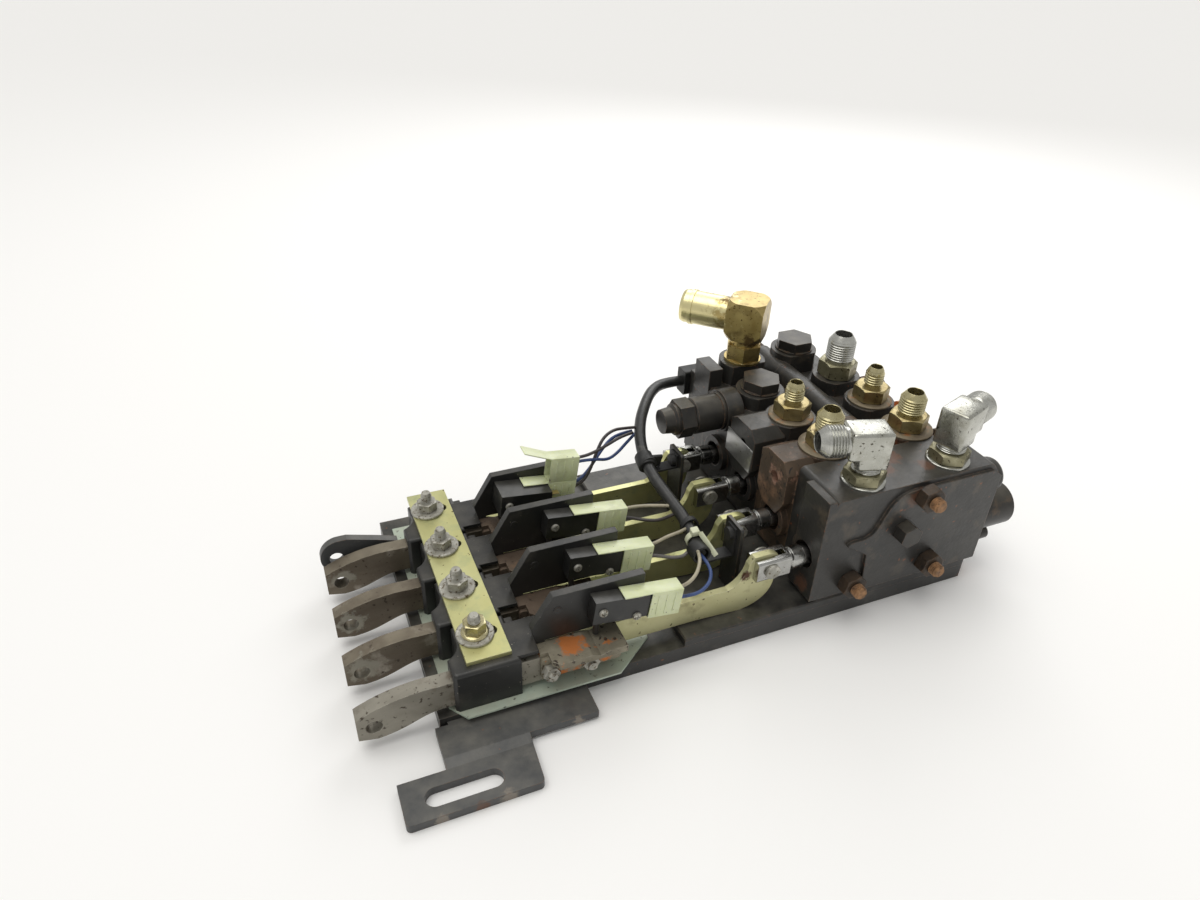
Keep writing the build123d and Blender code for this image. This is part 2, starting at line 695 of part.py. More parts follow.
# Terminal covers: a sleeve over the terminals with a flap along the switch
# The front switch of the last station has lost its cover, which lies on its neighbour's
COVER_T = SWITCH_T + 1.0
COVER_H = SWITCH_H + 3.0
covers = [(number, y, 0) for number, y in STATIONS] + [(*STATIONS[-1], COVER_H + COVER_GAP)]
with BuildPart() as terminal_covers:
    for number, y, lift in covers:
        cover_plane = switch_plane(number, y, BOARD_NEAR - COVER_GAP)
        with BuildSketch(cover_plane):
            with Locations((SWITCH_L / 2 + COVER_L / 2, lift)):
                Rectangle(COVER_L, COVER_H)
        extrude(amount=COVER_T)
        with BuildSketch(cover_plane):
            with Locations((SWITCH_L / 2 - COVER_FLAP / 2, lift + SWITCH_H / 2 + COVER_WALL / 2)):
                Rectangle(COVER_FLAP, COVER_WALL)
        extrude(amount=COVER_T)
        with BuildSketch(cover_plane.offset(COVER_WALL)):
            with Locations((SWITCH_L / 2 + COVER_L / 2 + COVER_WALL, lift)):
                Rectangle(COVER_L, COVER_H - 2 * COVER_WALL)
        extrude(amount=COVER_T - 2 * COVER_WALL, mode=Mode.SUBTRACT)
keep(terminal_covers, "terminal_covers")

# Valve sections: castings stacked along Y on common tie rods
BODY_H = 74.0  # casting height between the port bosses
BOSS_D = 38.0
TIE_BOSS_D = 20.0
SPOOL_BOSS_D = 30.0
WALL_X = VALVE_X0 + 5.0
PAD_RAISE = 2.5
NEAR_WALL = 27.5
TOP_BOSS_D = 26.0
TOP_BOSS_L = 14.0
TOP_BOSS_RISE = 30.5
RELIEF_D = 29.0
RELIEF_RISE = 39.0
RELIEF_STEM_D = 22.0
tie_points = [(VALVE_X0 + along, section_z + up) for along, up in TIES]
for number, y in STATIONS:
    y0 = y - SPOOL_IN
    y1 = y0 + PITCH
    first = number == "1"
    top = section_top if first else section_z + BODY_H
    with BuildPart() as section:
        # body, chamfered along its top right edge
        with BuildSketch(side(y1)):
            with BuildLine():
                Polyline(
                    (WALL_X, section_z),
                    (VALVE_X1, section_z),
                    (VALVE_X1, top - 10),
                    (VALVE_X1 - 8, top),
                    (WALL_X, top),
                    close=True,
                )
            make_face()
        extrude(amount=PITCH)
        fillet(section.edges().filter_by(Axis.Y).group_by(Axis.Z)[-1], radius=4)
        # port bosses, spool boss, boss for the upper tie rod and the rounded boss at the right end
        with BuildSketch(Plane.XY.offset(section_z + BODY_H / 2)):
            with Locations(*[(x, y) for x in PORT_X]):
                Circle(BOSS_D / 2)
        extrude(amount=port_z - section_z - BODY_H / 2)
        with BuildSketch(Plane.YZ.offset(VALVE_X0)):
            with Locations((y, spool_z)):
                Circle(SPOOL_BOSS_D / 2)
        extrude(amount=WALL_X - VALVE_X0 + 1)
        with BuildSketch(side(y1)):
            with Locations(tie_points[2]):
                Circle(TIE_BOSS_D / 2)
        extrude(amount=PITCH)
        with BuildSketch(Plane.YZ.offset(VALVE_X1 - 2)):
            with Locations((y, spool_z + TOP_BOSS_RISE)):
                Circle(TOP_BOSS_D / 2)
        extrude(amount=TOP_BOSS_L + 2)
        fillet(section.faces().sort_by(Axis.X)[-1].edges(), radius=5)
        # trimmed to the joint faces
        with BuildSketch(side(y1)):
            with Locations(((VALVE_X0 + VALVE_X1) / 2, (section_z + port_z) / 2)):
                Rectangle(2 * (VALVE_X1 - VALVE_X0), 2 * SECTION_H)
        extrude(amount=PITCH, mode=Mode.INTERSECT)
        if first:
            # flat left wall, and the raised lower part of the near face with its curved upper edge
            with BuildSketch(Plane.XY.offset(section_z)):
                with Locations(((VALVE_X0 - 1 + WALL_X) / 2, y0 + NEAR_WALL / 2)):
                    Rectangle(WALL_X - VALVE_X0 + 1, NEAR_WALL)
            extrude(amount=top - section_z)
            with BuildSketch(side(y0)):
                with BuildLine():
                    Polyline(
                        (PORT_X[0] + 5, section_z),
                        (VALVE_X1, section_z),
                        (VALVE_X1, section_top - 10),
                        (VALVE_X1 - 8, section_top - 4),
                        (PORT_X[0] + 33, section_top - 4),
                    )
                    Spline(
                        (PORT_X[0] + 33, section_top - 4),
                        (PORT_X[0] + 13, section_top - 15),
                        (PORT_X[0] - 2, section_top - 37),
                        (PORT_X[0] - 16, section_top - 40),
                        tangents=((-1, 0), (-0.6, -1)),
                    )
                    Polyline(
                        (PORT_X[0] - 16, section_top - 40),
                        (PORT_X[0] + 2, section_top - 52),
                        (PORT_X[0] + 5, section_z),
                    )
                make_face()
            extrude(amount=PAD_RAISE)
            # feet on the base
            with BuildSketch(Plane.XY.offset(pad_top)):
                with Locations((VALVE_X0 + 18, y0 + 12), (VALVE_X1 - 18, y0 + 12)):
                    Rectangle(26, 20)
            extrude(amount=FOOT)
        elif number == "4":
            with BuildSketch(Plane.YZ.offset(VALVE_X0 + 1)):
                with Locations((y + 2, spool_z + RELIEF_RISE)):
                    Circle(RELIEF_D / 2 + 2.5)
            extrude(amount=14)
        else:
            # upper left boss with cut corners
            boss_low = spool_z + FORK_W / 2 + 1.5
            with BuildSketch(Plane.YZ.offset(VALVE_X0 - 3)):
                with BuildLine():
                    Polyline(
                        (y - 15, boss_low + 12),
                        (y - 8, boss_low),
                        (y + 10, boss_low),
                        (y + 19, boss_low + 10),
                        (y + 19, port_z - 4),
                        (y + 12, port_z),
                        (y - 8, port_z),
                        (y - 15, port_z - 8),
                        close=True,
                    )
                make_face()
            extrude(amount=PORT_X[0] - VALVE_X0 - 10)
        # spool bore with its seal pocket, port bores, tie rod holes
        with BuildSketch(Plane.YZ.offset(VALVE_X0 - 10)):
            with Locations((y, spool_z)):
                Circle(SPOOL_D / 2 + RUN_GAP)
        extrude(amount=VALVE_X1 - VALVE_X0 + 30, mode=Mode.SUBTRACT)
        with BuildSketch(Plane.YZ.offset(VALVE_X0 - 10)):
            with Locations((y, spool_z)):
                Circle(SEAL_POCKET_D / 2)
        extrude(amount=SEAL_POCKET + 10, mode=Mode.SUBTRACT)
        with BuildSketch(Plane.XY.offset(spool_z)):
            with Locations(*[(x, y) for x in PORT_X]):
                Circle(PORT_D / 2)
        extrude(amount=section_top - spool_z + 10, mode=Mode.SUBTRACT)
        with BuildSketch(side(y1 + 1)):
            with Locations(*tie_points):
                Circle(TIE_D / 2 + BOLT_GAP)
        extrude(amount=PITCH + PAD_RAISE + 2, mode=Mode.SUBTRACT)
        if number in "23":
            with BuildSketch(Plane.YZ.offset(VALVE_X0 - 3)):
                with Locations((y, spool_z + 37)):
                    Circle(4.5)
            extrude(amount=12, mode=Mode.SUBTRACT)
        if number == "4":
            with BuildSketch(Plane.YZ.offset(VALVE_X0 + 1)):
                with Locations((y + 2, spool_z + RELIEF_RISE)):
                    Circle(RELIEF_STEM_D / 2)
            extrude(amount=18, mode=Mode.SUBTRACT)
    keep(section, f"section_{number}")

# Inlet and outlet section, the far end of the stack
HOSE_AT = (274.0, inlet_y + 12)
INLET_PLUG_AT = (326.0, inlet_y + 15)
with BuildPart() as inlet_section:
    inlet_far = inlet_y + INLET_W
    with BuildSketch(side(inlet_far)):
        with BuildLine():
            Polyline(
                (WALL_X + 4, section_z),
                (VALVE_X1 - 4, section_z),
                (VALVE_X1 - 4, section_z + BODY_H - 14),
                (VALVE_X1 - 18, section_z + BODY_H),
                (WALL_X + 4, section_z + BODY_H),
                close=True,
            )
        make_face()
    extrude(amount=INLET_W)
    with BuildSketch(Plane.XY.offset(section_z + BODY_H / 2)):
        with Locations(HOSE_AT, INLET_PLUG_AT):
            Circle(BOSS_D / 2)
    extrude(amount=inlet_z - section_z - BODY_H / 2)
    with BuildSketch(Plane.XY.offset(section_z + BODY_H - 10)):
        with Locations((WALL_X + 8, inlet_y + 14)):
            Rectangle(12, 24)
    extrude(amount=26)
    with BuildSketch(side(inlet_far)):
        with Locations(tie_points[2]):
            Circle(TIE_BOSS_D / 2)
    extrude(amount=INLET_W)
    # near side trimmed to the joint face, then bores and holes
    with BuildSketch(side(inlet_y)):
        with Locations(((VALVE_X0 + VALVE_X1) / 2, section_z + INLET_H / 2)):
            Rectangle(VALVE_X1 - VALVE_X0 + 40, INLET_H + 60)
    extrude(amount=BOSS_D, mode=Mode.SUBTRACT)
    with BuildSketch(Plane.XY.offset(spool_z - 8)):
        with Locations(HOSE_AT, INLET_PLUG_AT):
            Circle(PORT_D / 2)
    extrude(amount=inlet_z, mode=Mode.SUBTRACT)
    with BuildSketch(side(inlet_far + 1)):
        with Locations(*tie_points):
            Circle(TIE_D / 2 + BOLT_GAP)
    extrude(amount=INLET_W + 2, mode=Mode.SUBTRACT)
    with BuildSketch(Plane.XY.offset(pad_top)):
        with Locations((VALVE_X0 + 22, inlet_far - 12), (VALVE_X1 - 22, inlet_far - 12)):
            Rectangle(26, 20)
    extrude(amount=FOOT)
keep(inlet_section, "inlet_section")

# Spool caps over the tails, with the small detent stub under each
with BuildPart() as spool_caps:
    for _, y in STATIONS:
        with BuildSketch(Plane.YZ.offset(VALVE_X1)):
            with Locations((y, spool_z)):
                Circle(CAP_D / 2)
            with Locations((y - 4, spool_z - 23)):
                Circle(5.5)
        extrude(amount=CAP_L - 12)
        with BuildSketch(Plane.YZ.offset(VALVE_X1)):
            with Locations((y, spool_z)):
                Circle(CAP_D / 2)
        extrude(amount=CAP_L)
    chamfer(spool_caps.edges().group_by(Axis.X)[-1], length=2.5)
    for _, y in STATIONS:
        with BuildSketch(Plane.YZ.offset(VALVE_X1)):
            with Locations((y, spool_z)):
                Circle(CAP_D / 2 - CAP_WALL)
        extrude(amount=CAP_L - CAP_WALL, mode=Mode.SUBTRACT)
keep(spool_caps, "spool_caps")

# Tie rods through the stack with a nut at each end
with BuildPart() as tie_rods:
    tie_far = inlet_y + INLET_W
    for (x, z), near in zip(tie_points, (valve_y0, valve_y0 - PAD_RAISE, valve_y0 - PAD_RAISE)):
        with BuildSketch(side(tie_far + TIE_NUT + TIE_OVER)):
            with Locations((x, z)):
                Circle(TIE_D / 2)
        extrude(amount=tie_far - near + 2 * (TIE_NUT + TIE_OVER))
        with BuildSketch(side(near)):
            with Locations((x, z)):
                RegularPolygon(hexagon(TIE_NUT_AF), 6, rotation=15)
        extrude(amount=TIE_NUT)
        with BuildSketch(side(tie_far + TIE_NUT)):
            with Locations((x, z)):
                RegularPolygon(hexagon(TIE_NUT_AF), 6, rotation=15)
        extrude(amount=TIE_NUT)
keep(tie_rods, "tie_rods")

# Straight flared fittings: x, y, across flats, thread, tip height, seal washer
STUB_IN = 12.0
FLARE_TAPER = 0.2  # length of the flare seat, as a share of the thread
FITTINGS = (
    (PORT_X[0], STATIONS[1][1], 25.0, 19.05, 31.0, 38.0),
    (PORT_X[1], STATIONS[1][1], 25.0, 19.05, 31.0, 38.0),
    (PORT_X[0], STATIONS[2][1], 24.0, 14.3, 29.0, 34.0),
    (PORT_X[1], STATIONS[2][1], 24.0, 14.3, 29.0, 34.0),
    (PORT_X[1], STATIONS[3][1], 27.0, 22.2, 36.0, 0.0),
)


def flared_end(start, direction, thread, length):
    """Adds a threaded nose with its tapered flare seat to the current part, from start along direction."""
    taper = thread * FLARE_TAPER
    with BuildSketch(Plane(start, z_dir=direction)) as shank:
        Circle(thread / 2)
    extrude(shank.sketch, amount=length - taper)
    with BuildSketch(Plane(start + direction * (length - taper), z_dir=direction)) as nose:
        Circle(thread / 2 - 0.8)
    extrude(nose.sketch, amount=taper, taper=37)


with BuildPart() as port_fittings:
    for x, y, across, thread, height, washer in FITTINGS:
        seat = Vector(x, y, port_z)
        if washer:
            with BuildSketch(Plane(seat)):
                Circle(washer / 2)
            extrude(amount=2)
        with BuildSketch(Plane(seat)):
            RegularPolygon(hexagon(across), 6)
        extrude(amount=13)
        with BuildSketch(Plane(seat)):
            Circle(PORT_D / 2 - SEAT_GAP)
        extrude(amount=-STUB_IN)
        flared_end(seat + Vector(0, 0, 13), Vector(0, 0, 1), thread, height - 13)
    for x, y, across, thread, height, washer in FITTINGS:
        with BuildSketch(Plane((x, y, port_z - STUB_IN))):
            Circle(thread * 0.3)
        extrude(amount=STUB_IN + height, mode=Mode.SUBTRACT)
keep(port_fittings, "port_fittings")

# Elbow fittings of the first section: seat, lock nut, body and flared leg
ELBOW_RISE = 32.0
ELBOW_LEG = 37.0
ELBOW_THREAD = 22.2
ELBOW_HALF = 10.5  # half the forging's width
ELBOW_ARM = 18.0
ELBOW_ROUND = 5.0
ELBOW_NUT_AF = 25.0
arc_middle = ELBOW_ROUND * (1 - cos(radians(45)))
ELBOWS = ((PORT_X[0], -17.0), (PORT_X[1], 200.0))  # leg turned from -X, in degrees
with BuildPart() as elbow_fittings:
    for x, turn in ELBOWS:
        y = STATIONS[0][1]
        seat = Vector(x, y, section_top)
        leg = Vector(-cos(radians(turn)), -sin(radians(turn)), 0)
        corner = seat + Vector(0, 0, ELBOW_RISE)
        with BuildSketch(Plane(seat)):
            Circle(15)
        extrude(amount=2)
        with BuildSketch(Plane(seat + Vector(0, 0, 2))):
            RegularPolygon(hexagon(ELBOW_NUT_AF), 6)
        extrude(amount=8)
        with BuildSketch(Plane(seat)):
            Circle(PORT_D / 2 - SEAT_GAP)
        extrude(amount=-STUB_IN)
        with BuildSketch(Plane(seat + Vector(0, 0, 10))):
            Circle(10)
        extrude(amount=4)
        # forged body: an L of square section, rounded over its outer corner
        with BuildSketch(Plane(corner, x_dir=leg, z_dir=leg.cross(Vector(0, 0, 1)))):
            with BuildLine():
                ThreePointArc(
                    (ELBOW_ROUND - ELBOW_HALF, ELBOW_HALF),
                    (arc_middle - ELBOW_HALF, ELBOW_HALF - arc_middle),
                    (-ELBOW_HALF, ELBOW_HALF - ELBOW_ROUND),
                )
                Polyline(
                    (-ELBOW_HALF, ELBOW_HALF - ELBOW_ROUND),
                    (-ELBOW_HALF, -ELBOW_ARM),
                    (ELBOW_HALF, -ELBOW_ARM),
                    (ELBOW_HALF, -ELBOW_HALF),
                    (ELBOW_ARM, -ELBOW_HALF),
                    (ELBOW_ARM, ELBOW_HALF),
                    (ELBOW_ROUND - ELBOW_HALF, ELBOW_HALF),
                )
            make_face()
        extrude(amount=ELBOW_HALF, both=True)
        flared_end(corner + leg * ELBOW_ARM, leg, ELBOW_THREAD, ELBOW_LEG - ELBOW_ARM)
    for x, turn in ELBOWS:
        seat = Vector(x, STATIONS[0][1], section_top)
        leg = Vector(-cos(radians(turn)), -sin(radians(turn)), 0)
        with BuildSketch(Plane(seat - Vector(0, 0, STUB_IN))):
            Circle(5)
        extrude(amount=STUB_IN + ELBOW_RISE, mode=Mode.SUBTRACT)
        with BuildSketch(Plane(seat + Vector(0, 0, ELBOW_RISE), z_dir=leg)):
            Circle(6.5)
        extrude(amount=ELBOW_LEG + 2, mode=Mode.SUBTRACT)
keep(elbow_fittings, "elbow_fittings")

# Brass hose elbow on the inlet: swivel nut, neck, forged square body with turned ends, and beaded tail
HOSE_TURN = 135.0  # direction of the tail, from +X towards +Y
HOSE_RISE = 37.0
HOSE_TAIL = 54.0
HOSE_D = 27.0
HOSE_BORE = 20.0
HOSE_BODY = 30.0
HOSE_BODY_H = 32.0
HOSE_TURNED = 16.5  # radius of the body's turned end faces
HOSE_BEAD = (44.0, 3.0, 0.8)  # place along the tail, width and height
HOSE_NOSE = 2.5
HOSE_NECK_D = 24.0
HOSE_NUT_AF = 26.0
HOSE_NUT_Z = (2.0, 15.0)
HOSE_STEM_BORE = 11.0
with BuildPart() as hose_elbow:
    seat = Vector(HOSE_AT[0], HOSE_AT[1], inlet_z)
    tail = Vector(cos(radians(HOSE_TURN)), sin(radians(HOSE_TURN)), 0)
    corner = seat + Vector(0, 0, HOSE_RISE)
    half_h = HOSE_BODY_H / 2
    with BuildSketch(Plane(corner - Vector(0, 0, half_h), x_dir=tail, z_dir=(0, 0, 1))):
        Rectangle(HOSE_BODY, HOSE_BODY)
    extrude(amount=HOSE_BODY_H)
    with BuildSketch(Plane(corner, x_dir=(1, 0, 0), z_dir=(0, -1, 0))):
        with BuildLine():
            Polyline(
                (0, -half_h),
                (HOSE_TURNED, -half_h),
                (HOSE_TURNED + half_h / 2, -half_h / 4),
                (HOSE_TURNED + half_h / 2, half_h / 4),
                (HOSE_TURNED, half_h),
                (0, half_h),
                close=True,
            )
        make_face()
    revolve(axis=Axis(corner, (0, 0, 1)), mode=Mode.INTERSECT)
    with BuildSketch(Plane(seat)):
        Circle(hexagon(HOSE_NUT_AF))
    extrude(amount=HOSE_NUT_Z[0])
    with BuildSketch(Plane(seat + Vector(0, 0, HOSE_NUT_Z[0]))):
        RegularPolygon(hexagon(HOSE_NUT_AF), 6)
    extrude(amount=HOSE_NUT_Z[1] - HOSE_NUT_Z[0])
    with BuildSketch(Plane(seat)):
        Circle(PORT_D / 2 - SEAT_GAP)
    extrude(amount=-STUB_IN)
    with BuildSketch(Plane(seat + Vector(0, 0, HOSE_NUT_Z[1]))):
        Circle(HOSE_NECK_D / 2)
    extrude(amount=HOSE_RISE - half_h / 2 - HOSE_NUT_Z[1])
    with BuildSketch(Plane(corner, z_dir=tail)):
        Circle(HOSE_D / 2)
    extrude(amount=HOSE_TAIL - HOSE_NOSE)
    with BuildSketch(Plane(corner + tail * HOSE_BEAD[0], z_dir=tail)):
        Circle(HOSE_D / 2 + HOSE_BEAD[2])
    extrude(amount=HOSE_BEAD[1])
    with BuildSketch(Plane(corner + tail * (HOSE_TAIL - HOSE_NOSE), z_dir=tail)):
        Circle(HOSE_D / 2)
    extrude(amount=HOSE_NOSE, taper=20)
    with BuildSketch(Plane(seat - Vector(0, 0, STUB_IN))):
        Circle(HOSE_STEM_BORE / 2)
    extrude(amount=STUB_IN + HOSE_RISE, mode=Mode.SUBTRACT)
    with BuildSketch(Plane(corner, z_dir=tail)):
        Circle(HOSE_BORE / 2)
    extrude(amount=HOSE_TAIL + 2, mode=Mode.SUBTRACT)
keep(hose_elbow, "hose_elbow")

# Hexagon plugs: the capped ports and the plug on the near face
PLUG_AF = 27.0
PLUG_H = 8.0
NEAR_PLUG_AT = (PORT_X[0] + 29, section_z + 48.5)
with BuildPart() as port_plugs:
    for (x, y), z in (((PORT_X[0], STATIONS[3][1]), port_z), (INLET_PLUG_AT, inlet_z)):
        with BuildSketch(Plane((x, y, z))):
            Circle(PLUG_AF / 2 + 2)
        extrude(amount=1.5)
        with BuildSketch(Plane((x, y, z + 1.5))):
            RegularPolygon(hexagon(PLUG_AF), 6)
        extrude(amount=PLUG_H)
        with BuildSketch(Plane((x, y, z))):
            Circle(PORT_D / 2 - SEAT_GAP)
        extrude(amount=-STUB_IN)
    with BuildSketch(side(valve_y0 - PAD_RAISE)):
        with Locations(NEAR_PLUG_AT):
            RegularPolygon(hexagon(15), 6, rotation=20)
    extrude(amount=10)
keep(port_plugs, "port_plugs")

# Relief cartridge of the last section, along X, with its O-ring
RELIEF_OUT = 50.0
with BuildPart() as relief_cartridge:
    relief_y = STATIONS[3][1] + 2
    relief_z = spool_z + RELIEF_RISE
    relief_x = VALVE_X0 + 1
    with BuildSketch(side(relief_y)):
        with BuildLine():
            Polyline(
                (relief_x + 16, relief_z),
                (relief_x + 16, relief_z + RELIEF_STEM_D / 2 - SEAT_GAP),
                (relief_x, relief_z + RELIEF_STEM_D / 2 - SEAT_GAP),
                (relief_x, relief_z + RELIEF_D / 2 + 1),
                (relief_x - 2.5, relief_z + RELIEF_D / 2 + 1),
                (relief_x - 2.5, relief_z + RELIEF_D / 2),
                (relief_x - 24, relief_z + RELIEF_D / 2),
                (relief_x - 26, relief_z + RELIEF_D / 2 - 2),
                (relief_x - 40, relief_z + RELIEF_D / 2 - 2),
                (relief_x - 42, relief_z + RELIEF_D / 2 - 4),
                (relief_x - RELIEF_OUT, relief_z + RELIEF_D / 2 - 5),
                (relief_x - RELIEF_OUT, relief_z),
                close=True,
            )
        make_face()
    revolve(axis=Axis((0, relief_y, relief_z), (1, 0, 0)))
    with BuildSketch(Plane.YZ.offset(relief_x - 38)):
        with Locations((relief_y, relief_z)):
            RegularPolygon(hexagon(RELIEF_D - 2), 6)
    extrude(amount=12)
keep(relief_cartridge, "relief_cartridge")

# Wiper seals in the spool pockets, clear of the stubs
SEAL_T = 2.0
SEAL_GAP = 0.3
with BuildPart() as spool_seals:
    with BuildSketch(Plane.YZ.offset(VALVE_X0 + SEAL_POCKET - SEAL_T)):
        with Locations(*[(y, spool_z) for _, y in STATIONS]):
            Circle(SEAL_POCKET_D / 2)
            Circle(STUB_D / 2 + SEAL_GAP, mode=Mode.SUBTRACT)
    extrude(amount=SEAL_T)
keep(spool_seals, "spool_seals")

# Upright sheet brackets between the links, footed on the valve plate: middle y, top z
BRACKET_X = 186.0
BRACKET_T = 2.5
BRACKET_W = 20.0
BRACKETS = ((STATIONS[0][1] + 22.5, pad_top + 58), (STATIONS[2][1] + 24, pad_top + 61))
with BuildPart() as upright_brackets:
    for y, top in BRACKETS:
        with BuildSketch(Plane.YZ.offset(BRACKET_X)):
            with Locations((y, (pad_top + top) / 2)):
                RectangleRounded(BRACKET_W, top - pad_top, 2)
            with Locations((y, pad_top + 5)):
                Rectangle(BRACKET_W, 10)
            with Locations((y, top - 8)):
                Circle(2.6, mode=Mode.SUBTRACT)
        extrude(amount=BRACKET_T)
        with BuildSketch(Plane.XY.offset(pad_top)):
            with Locations((BRACKET_X + 12, y)):
                Rectangle(24, BRACKET_W)
        extrude(amount=BRACKET_T)
keep(upright_brackets, "upright_brackets")

# Wiring: points chosen along each route
HARNESS_D = 9.0
WIRE_D = 2.4
HARNESS_PATH = (
    (236, inlet_y + 43, 82),
    (217, inlet_y + 40, 85),
    (200, inlet_y + 27, 88),
    (185, inlet_y + 8, 88),
    (172, inlet_y - 11, 84),
    (163, inlet_y - 34, 77),
    (160, inlet_y - 60, 71),
    (163, inlet_y - 88, 66),
    (165, inlet_y - 114, 62),
    (160, inlet_y - 140, 58),
)
COVER_OUT = SWITCH_X + 36.0
WIRE_PATHS = (
    ((COVER_OUT, -76, 63), (133, -76, 63.5), (143, -72, 66), (151, -62, 67), (156, -51, 64), (160, -40, 60)),
    ((COVER_OUT, -76, 56), (134, -77, 55), (146, -76, 54), (157, -69, 55), (162, -57, 57), (160, -44, 58)),
    ((COVER_OUT, -32, 63), (133, -31.5, 64), (143, -30, 66), (153, -28, 65), (164, -22, 62)),
    ((COVER_OUT, -32, 56), (134, -33, 54), (145, -38, 52), (155, -40, 54), (161, -34, 60)),
    ((COVER_OUT, 12, 63), (133, 12, 63), (143, 9, 64), (153, 4, 65), (163, 0, 65)),
    ((COVER_OUT, 12, 56), (134, 11, 54), (144, 5, 53), (154, -2, 56), (163, -6, 64)),
    ((102, 56, 80), (112, 56, 80), (124, 57, 78), (136, 61, 72), (147, 68, 71), (157, 72, 77), (166, 76, 81)),
    ((102, 56, 84), (113, 56, 83), (125, 58, 84), (138, 62, 86), (150, 68, 86), (162, 74, 83)),
    ((102, 56, 60), (112, 57, 62), (121, 60, 68), (130, 64, 77), (141, 70, 84), (153, 75, 84), (163, 78, 82)),
    (
        (102, 56, 57), (112, 55, 59), (120, 57, 68), (126, 60, 81),
        (133, 64, 91), (144, 70, 92), (155, 75, 88), (167, 79, 84),
    ),
)


def corner_radii(points):
    """The largest round corners that the runs beside each point of a route allow."""
    radii = []
    for before, here, after in zip(points, points[1:], points[2:]):
        run_in = Vector(*here) - Vector(*before)
        run_out = Vector(*after) - Vector(*here)
        turn = radians(run_in.get_angle(run_out))
        radii.append(0.45 * min(run_in.length, run_out.length) / tan(turn / 2))
    return radii


def report_cord(name, wire, volume, diameter, radii):
    """Prints a cord's length and tightest corner, and how its volume compares with section times length."""
    length = wire.length
    ratio = volume / (pi * diameter**2 / 4 * length)
    print(name, "length", round(length, 1), "tightest", round(min(radii), 1), "volume ratio", round(ratio, 4))


with BuildPart() as harness:
    radii = corner_radii(HARNESS_PATH)
    with BuildLine() as route:
        FilletPolyline(*HARNESS_PATH, radius=radii)
    with BuildSketch(Plane(origin=route.wires()[0] @ 0, z_dir=route.wires()[0] % 0)):
        Circle(HARNESS_D / 2)
    sweep()
report_cord("harness", route.wires()[0], harness.part.volume, HARNESS_D, radii)
keep(harness, "harness")

with BuildPart() as switch_wires:
    for path in WIRE_PATHS:
        radii = corner_radii(path)
        before = switch_wires.part.volume if switch_wires.part else 0
        with BuildLine() as route:
            FilletPolyline(*path, radius=radii)
        with BuildSketch(Plane(origin=route.wires()[0] @ 0, z_dir=route.wires()[0] % 0)):
            Circle(WIRE_D / 2)
        sweep()
        report_cord("wire", route.wires()[0], switch_wires.part.volume - before, WIRE_D, radii)
keep(switch_wires, "switch_wires")

# Harness fittings: connector on the inlet section, clips on the brackets and a tie
CLIP_W = 10.0
CLIP_WALL = 1.5
CLIP_GAP = 0.8
CLIPS = ((HARNESS_PATH[8], HARNESS_PATH[9], BRACKETS[0]), (HARNESS_PATH[5], HARNESS_PATH[6], BRACKETS[1]))
TIE_AT = HARNESS_PATH[8]
ring_r = HARNESS_D / 2 + CLIP_GAP
with BuildPart() as harness_fittings:
    with BuildSketch(Plane.YZ.offset(HARNESS_PATH[0][0])):
        with Locations((HARNESS_PATH[0][1], HARNESS_PATH[0][2])):
            RectangleRounded(14, 22, 2)
    extrude(amount=24)
    for (xa, ya, za), (xb, yb, zb), (y, top) in CLIPS:
        share = (ya - y) / (ya - yb)
        x = xa + (xb - xa) * share
        z = za + (zb - za) * share
        screw_z = top - 8
        with BuildSketch(side(y + CLIP_W / 2)):
            with Locations((x, z)):
                Circle(ring_r + CLIP_WALL)
        extrude(amount=CLIP_W)
        with BuildSketch(side(y + CLIP_W / 2)):
            with BuildLine():
                Polyline(
                    (x, z - ring_r - CLIP_WALL),
                    (BRACKET_X - CLIP_WALL, z - ring_r - CLIP_WALL),
                    (BRACKET_X - CLIP_WALL, screw_z + 6),
                    (BRACKET_X, screw_z + 6),
                    (BRACKET_X, z - ring_r - 2 * CLIP_WALL),
                    (x, z - ring_r - 2 * CLIP_WALL),
                    close=True,
                )
            make_face()
            with Locations((x, z)):
                Circle(ring_r + CLIP_WALL)
        extrude(amount=CLIP_W)
        with BuildSketch(side(y + CLIP_W / 2 + 1)):
            with Locations((x, z)):
                Circle(ring_r)
        extrude(amount=CLIP_W + 2, mode=Mode.SUBTRACT)
        with BuildSketch(Plane.YZ.offset(BRACKET_X - CLIP_WALL)):
            with Locations((y, screw_z)):
                Circle(4.5)
        extrude(amount=-3)
        with BuildSketch(Plane.YZ.offset(BRACKET_X - CLIP_WALL)):
            with Locations((y, screw_z)):
                Circle(2.5)
        extrude(amount=BRACKET_T + CLIP_WALL + 4)
    with BuildSketch(side(TIE_AT[1] + 2)):
        with Locations((TIE_AT[0], TIE_AT[2])):
            Circle(ring_r + 1.2)
            Circle(ring_r - 0.3, mode=Mode.SUBTRACT)
    extrude(amount=4)
keep(harness_fittings, "harness_fittings")
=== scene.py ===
# %% [markdown]
# # A four-lever control valve on its base
# The object is a stack of spool valves on a folded base, where each spool is pushed by a lever bar. Its
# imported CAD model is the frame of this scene: every piece already has its place and its body. Here each
# surface gets its finish, and the turned, threaded and flexible pieces are modelled again in finer
# detail than a CAD mesh holds.

# %% Load the frame
import bpy
from math import cos, pi, radians, sin, sqrt
from mathutils import Matrix, Vector


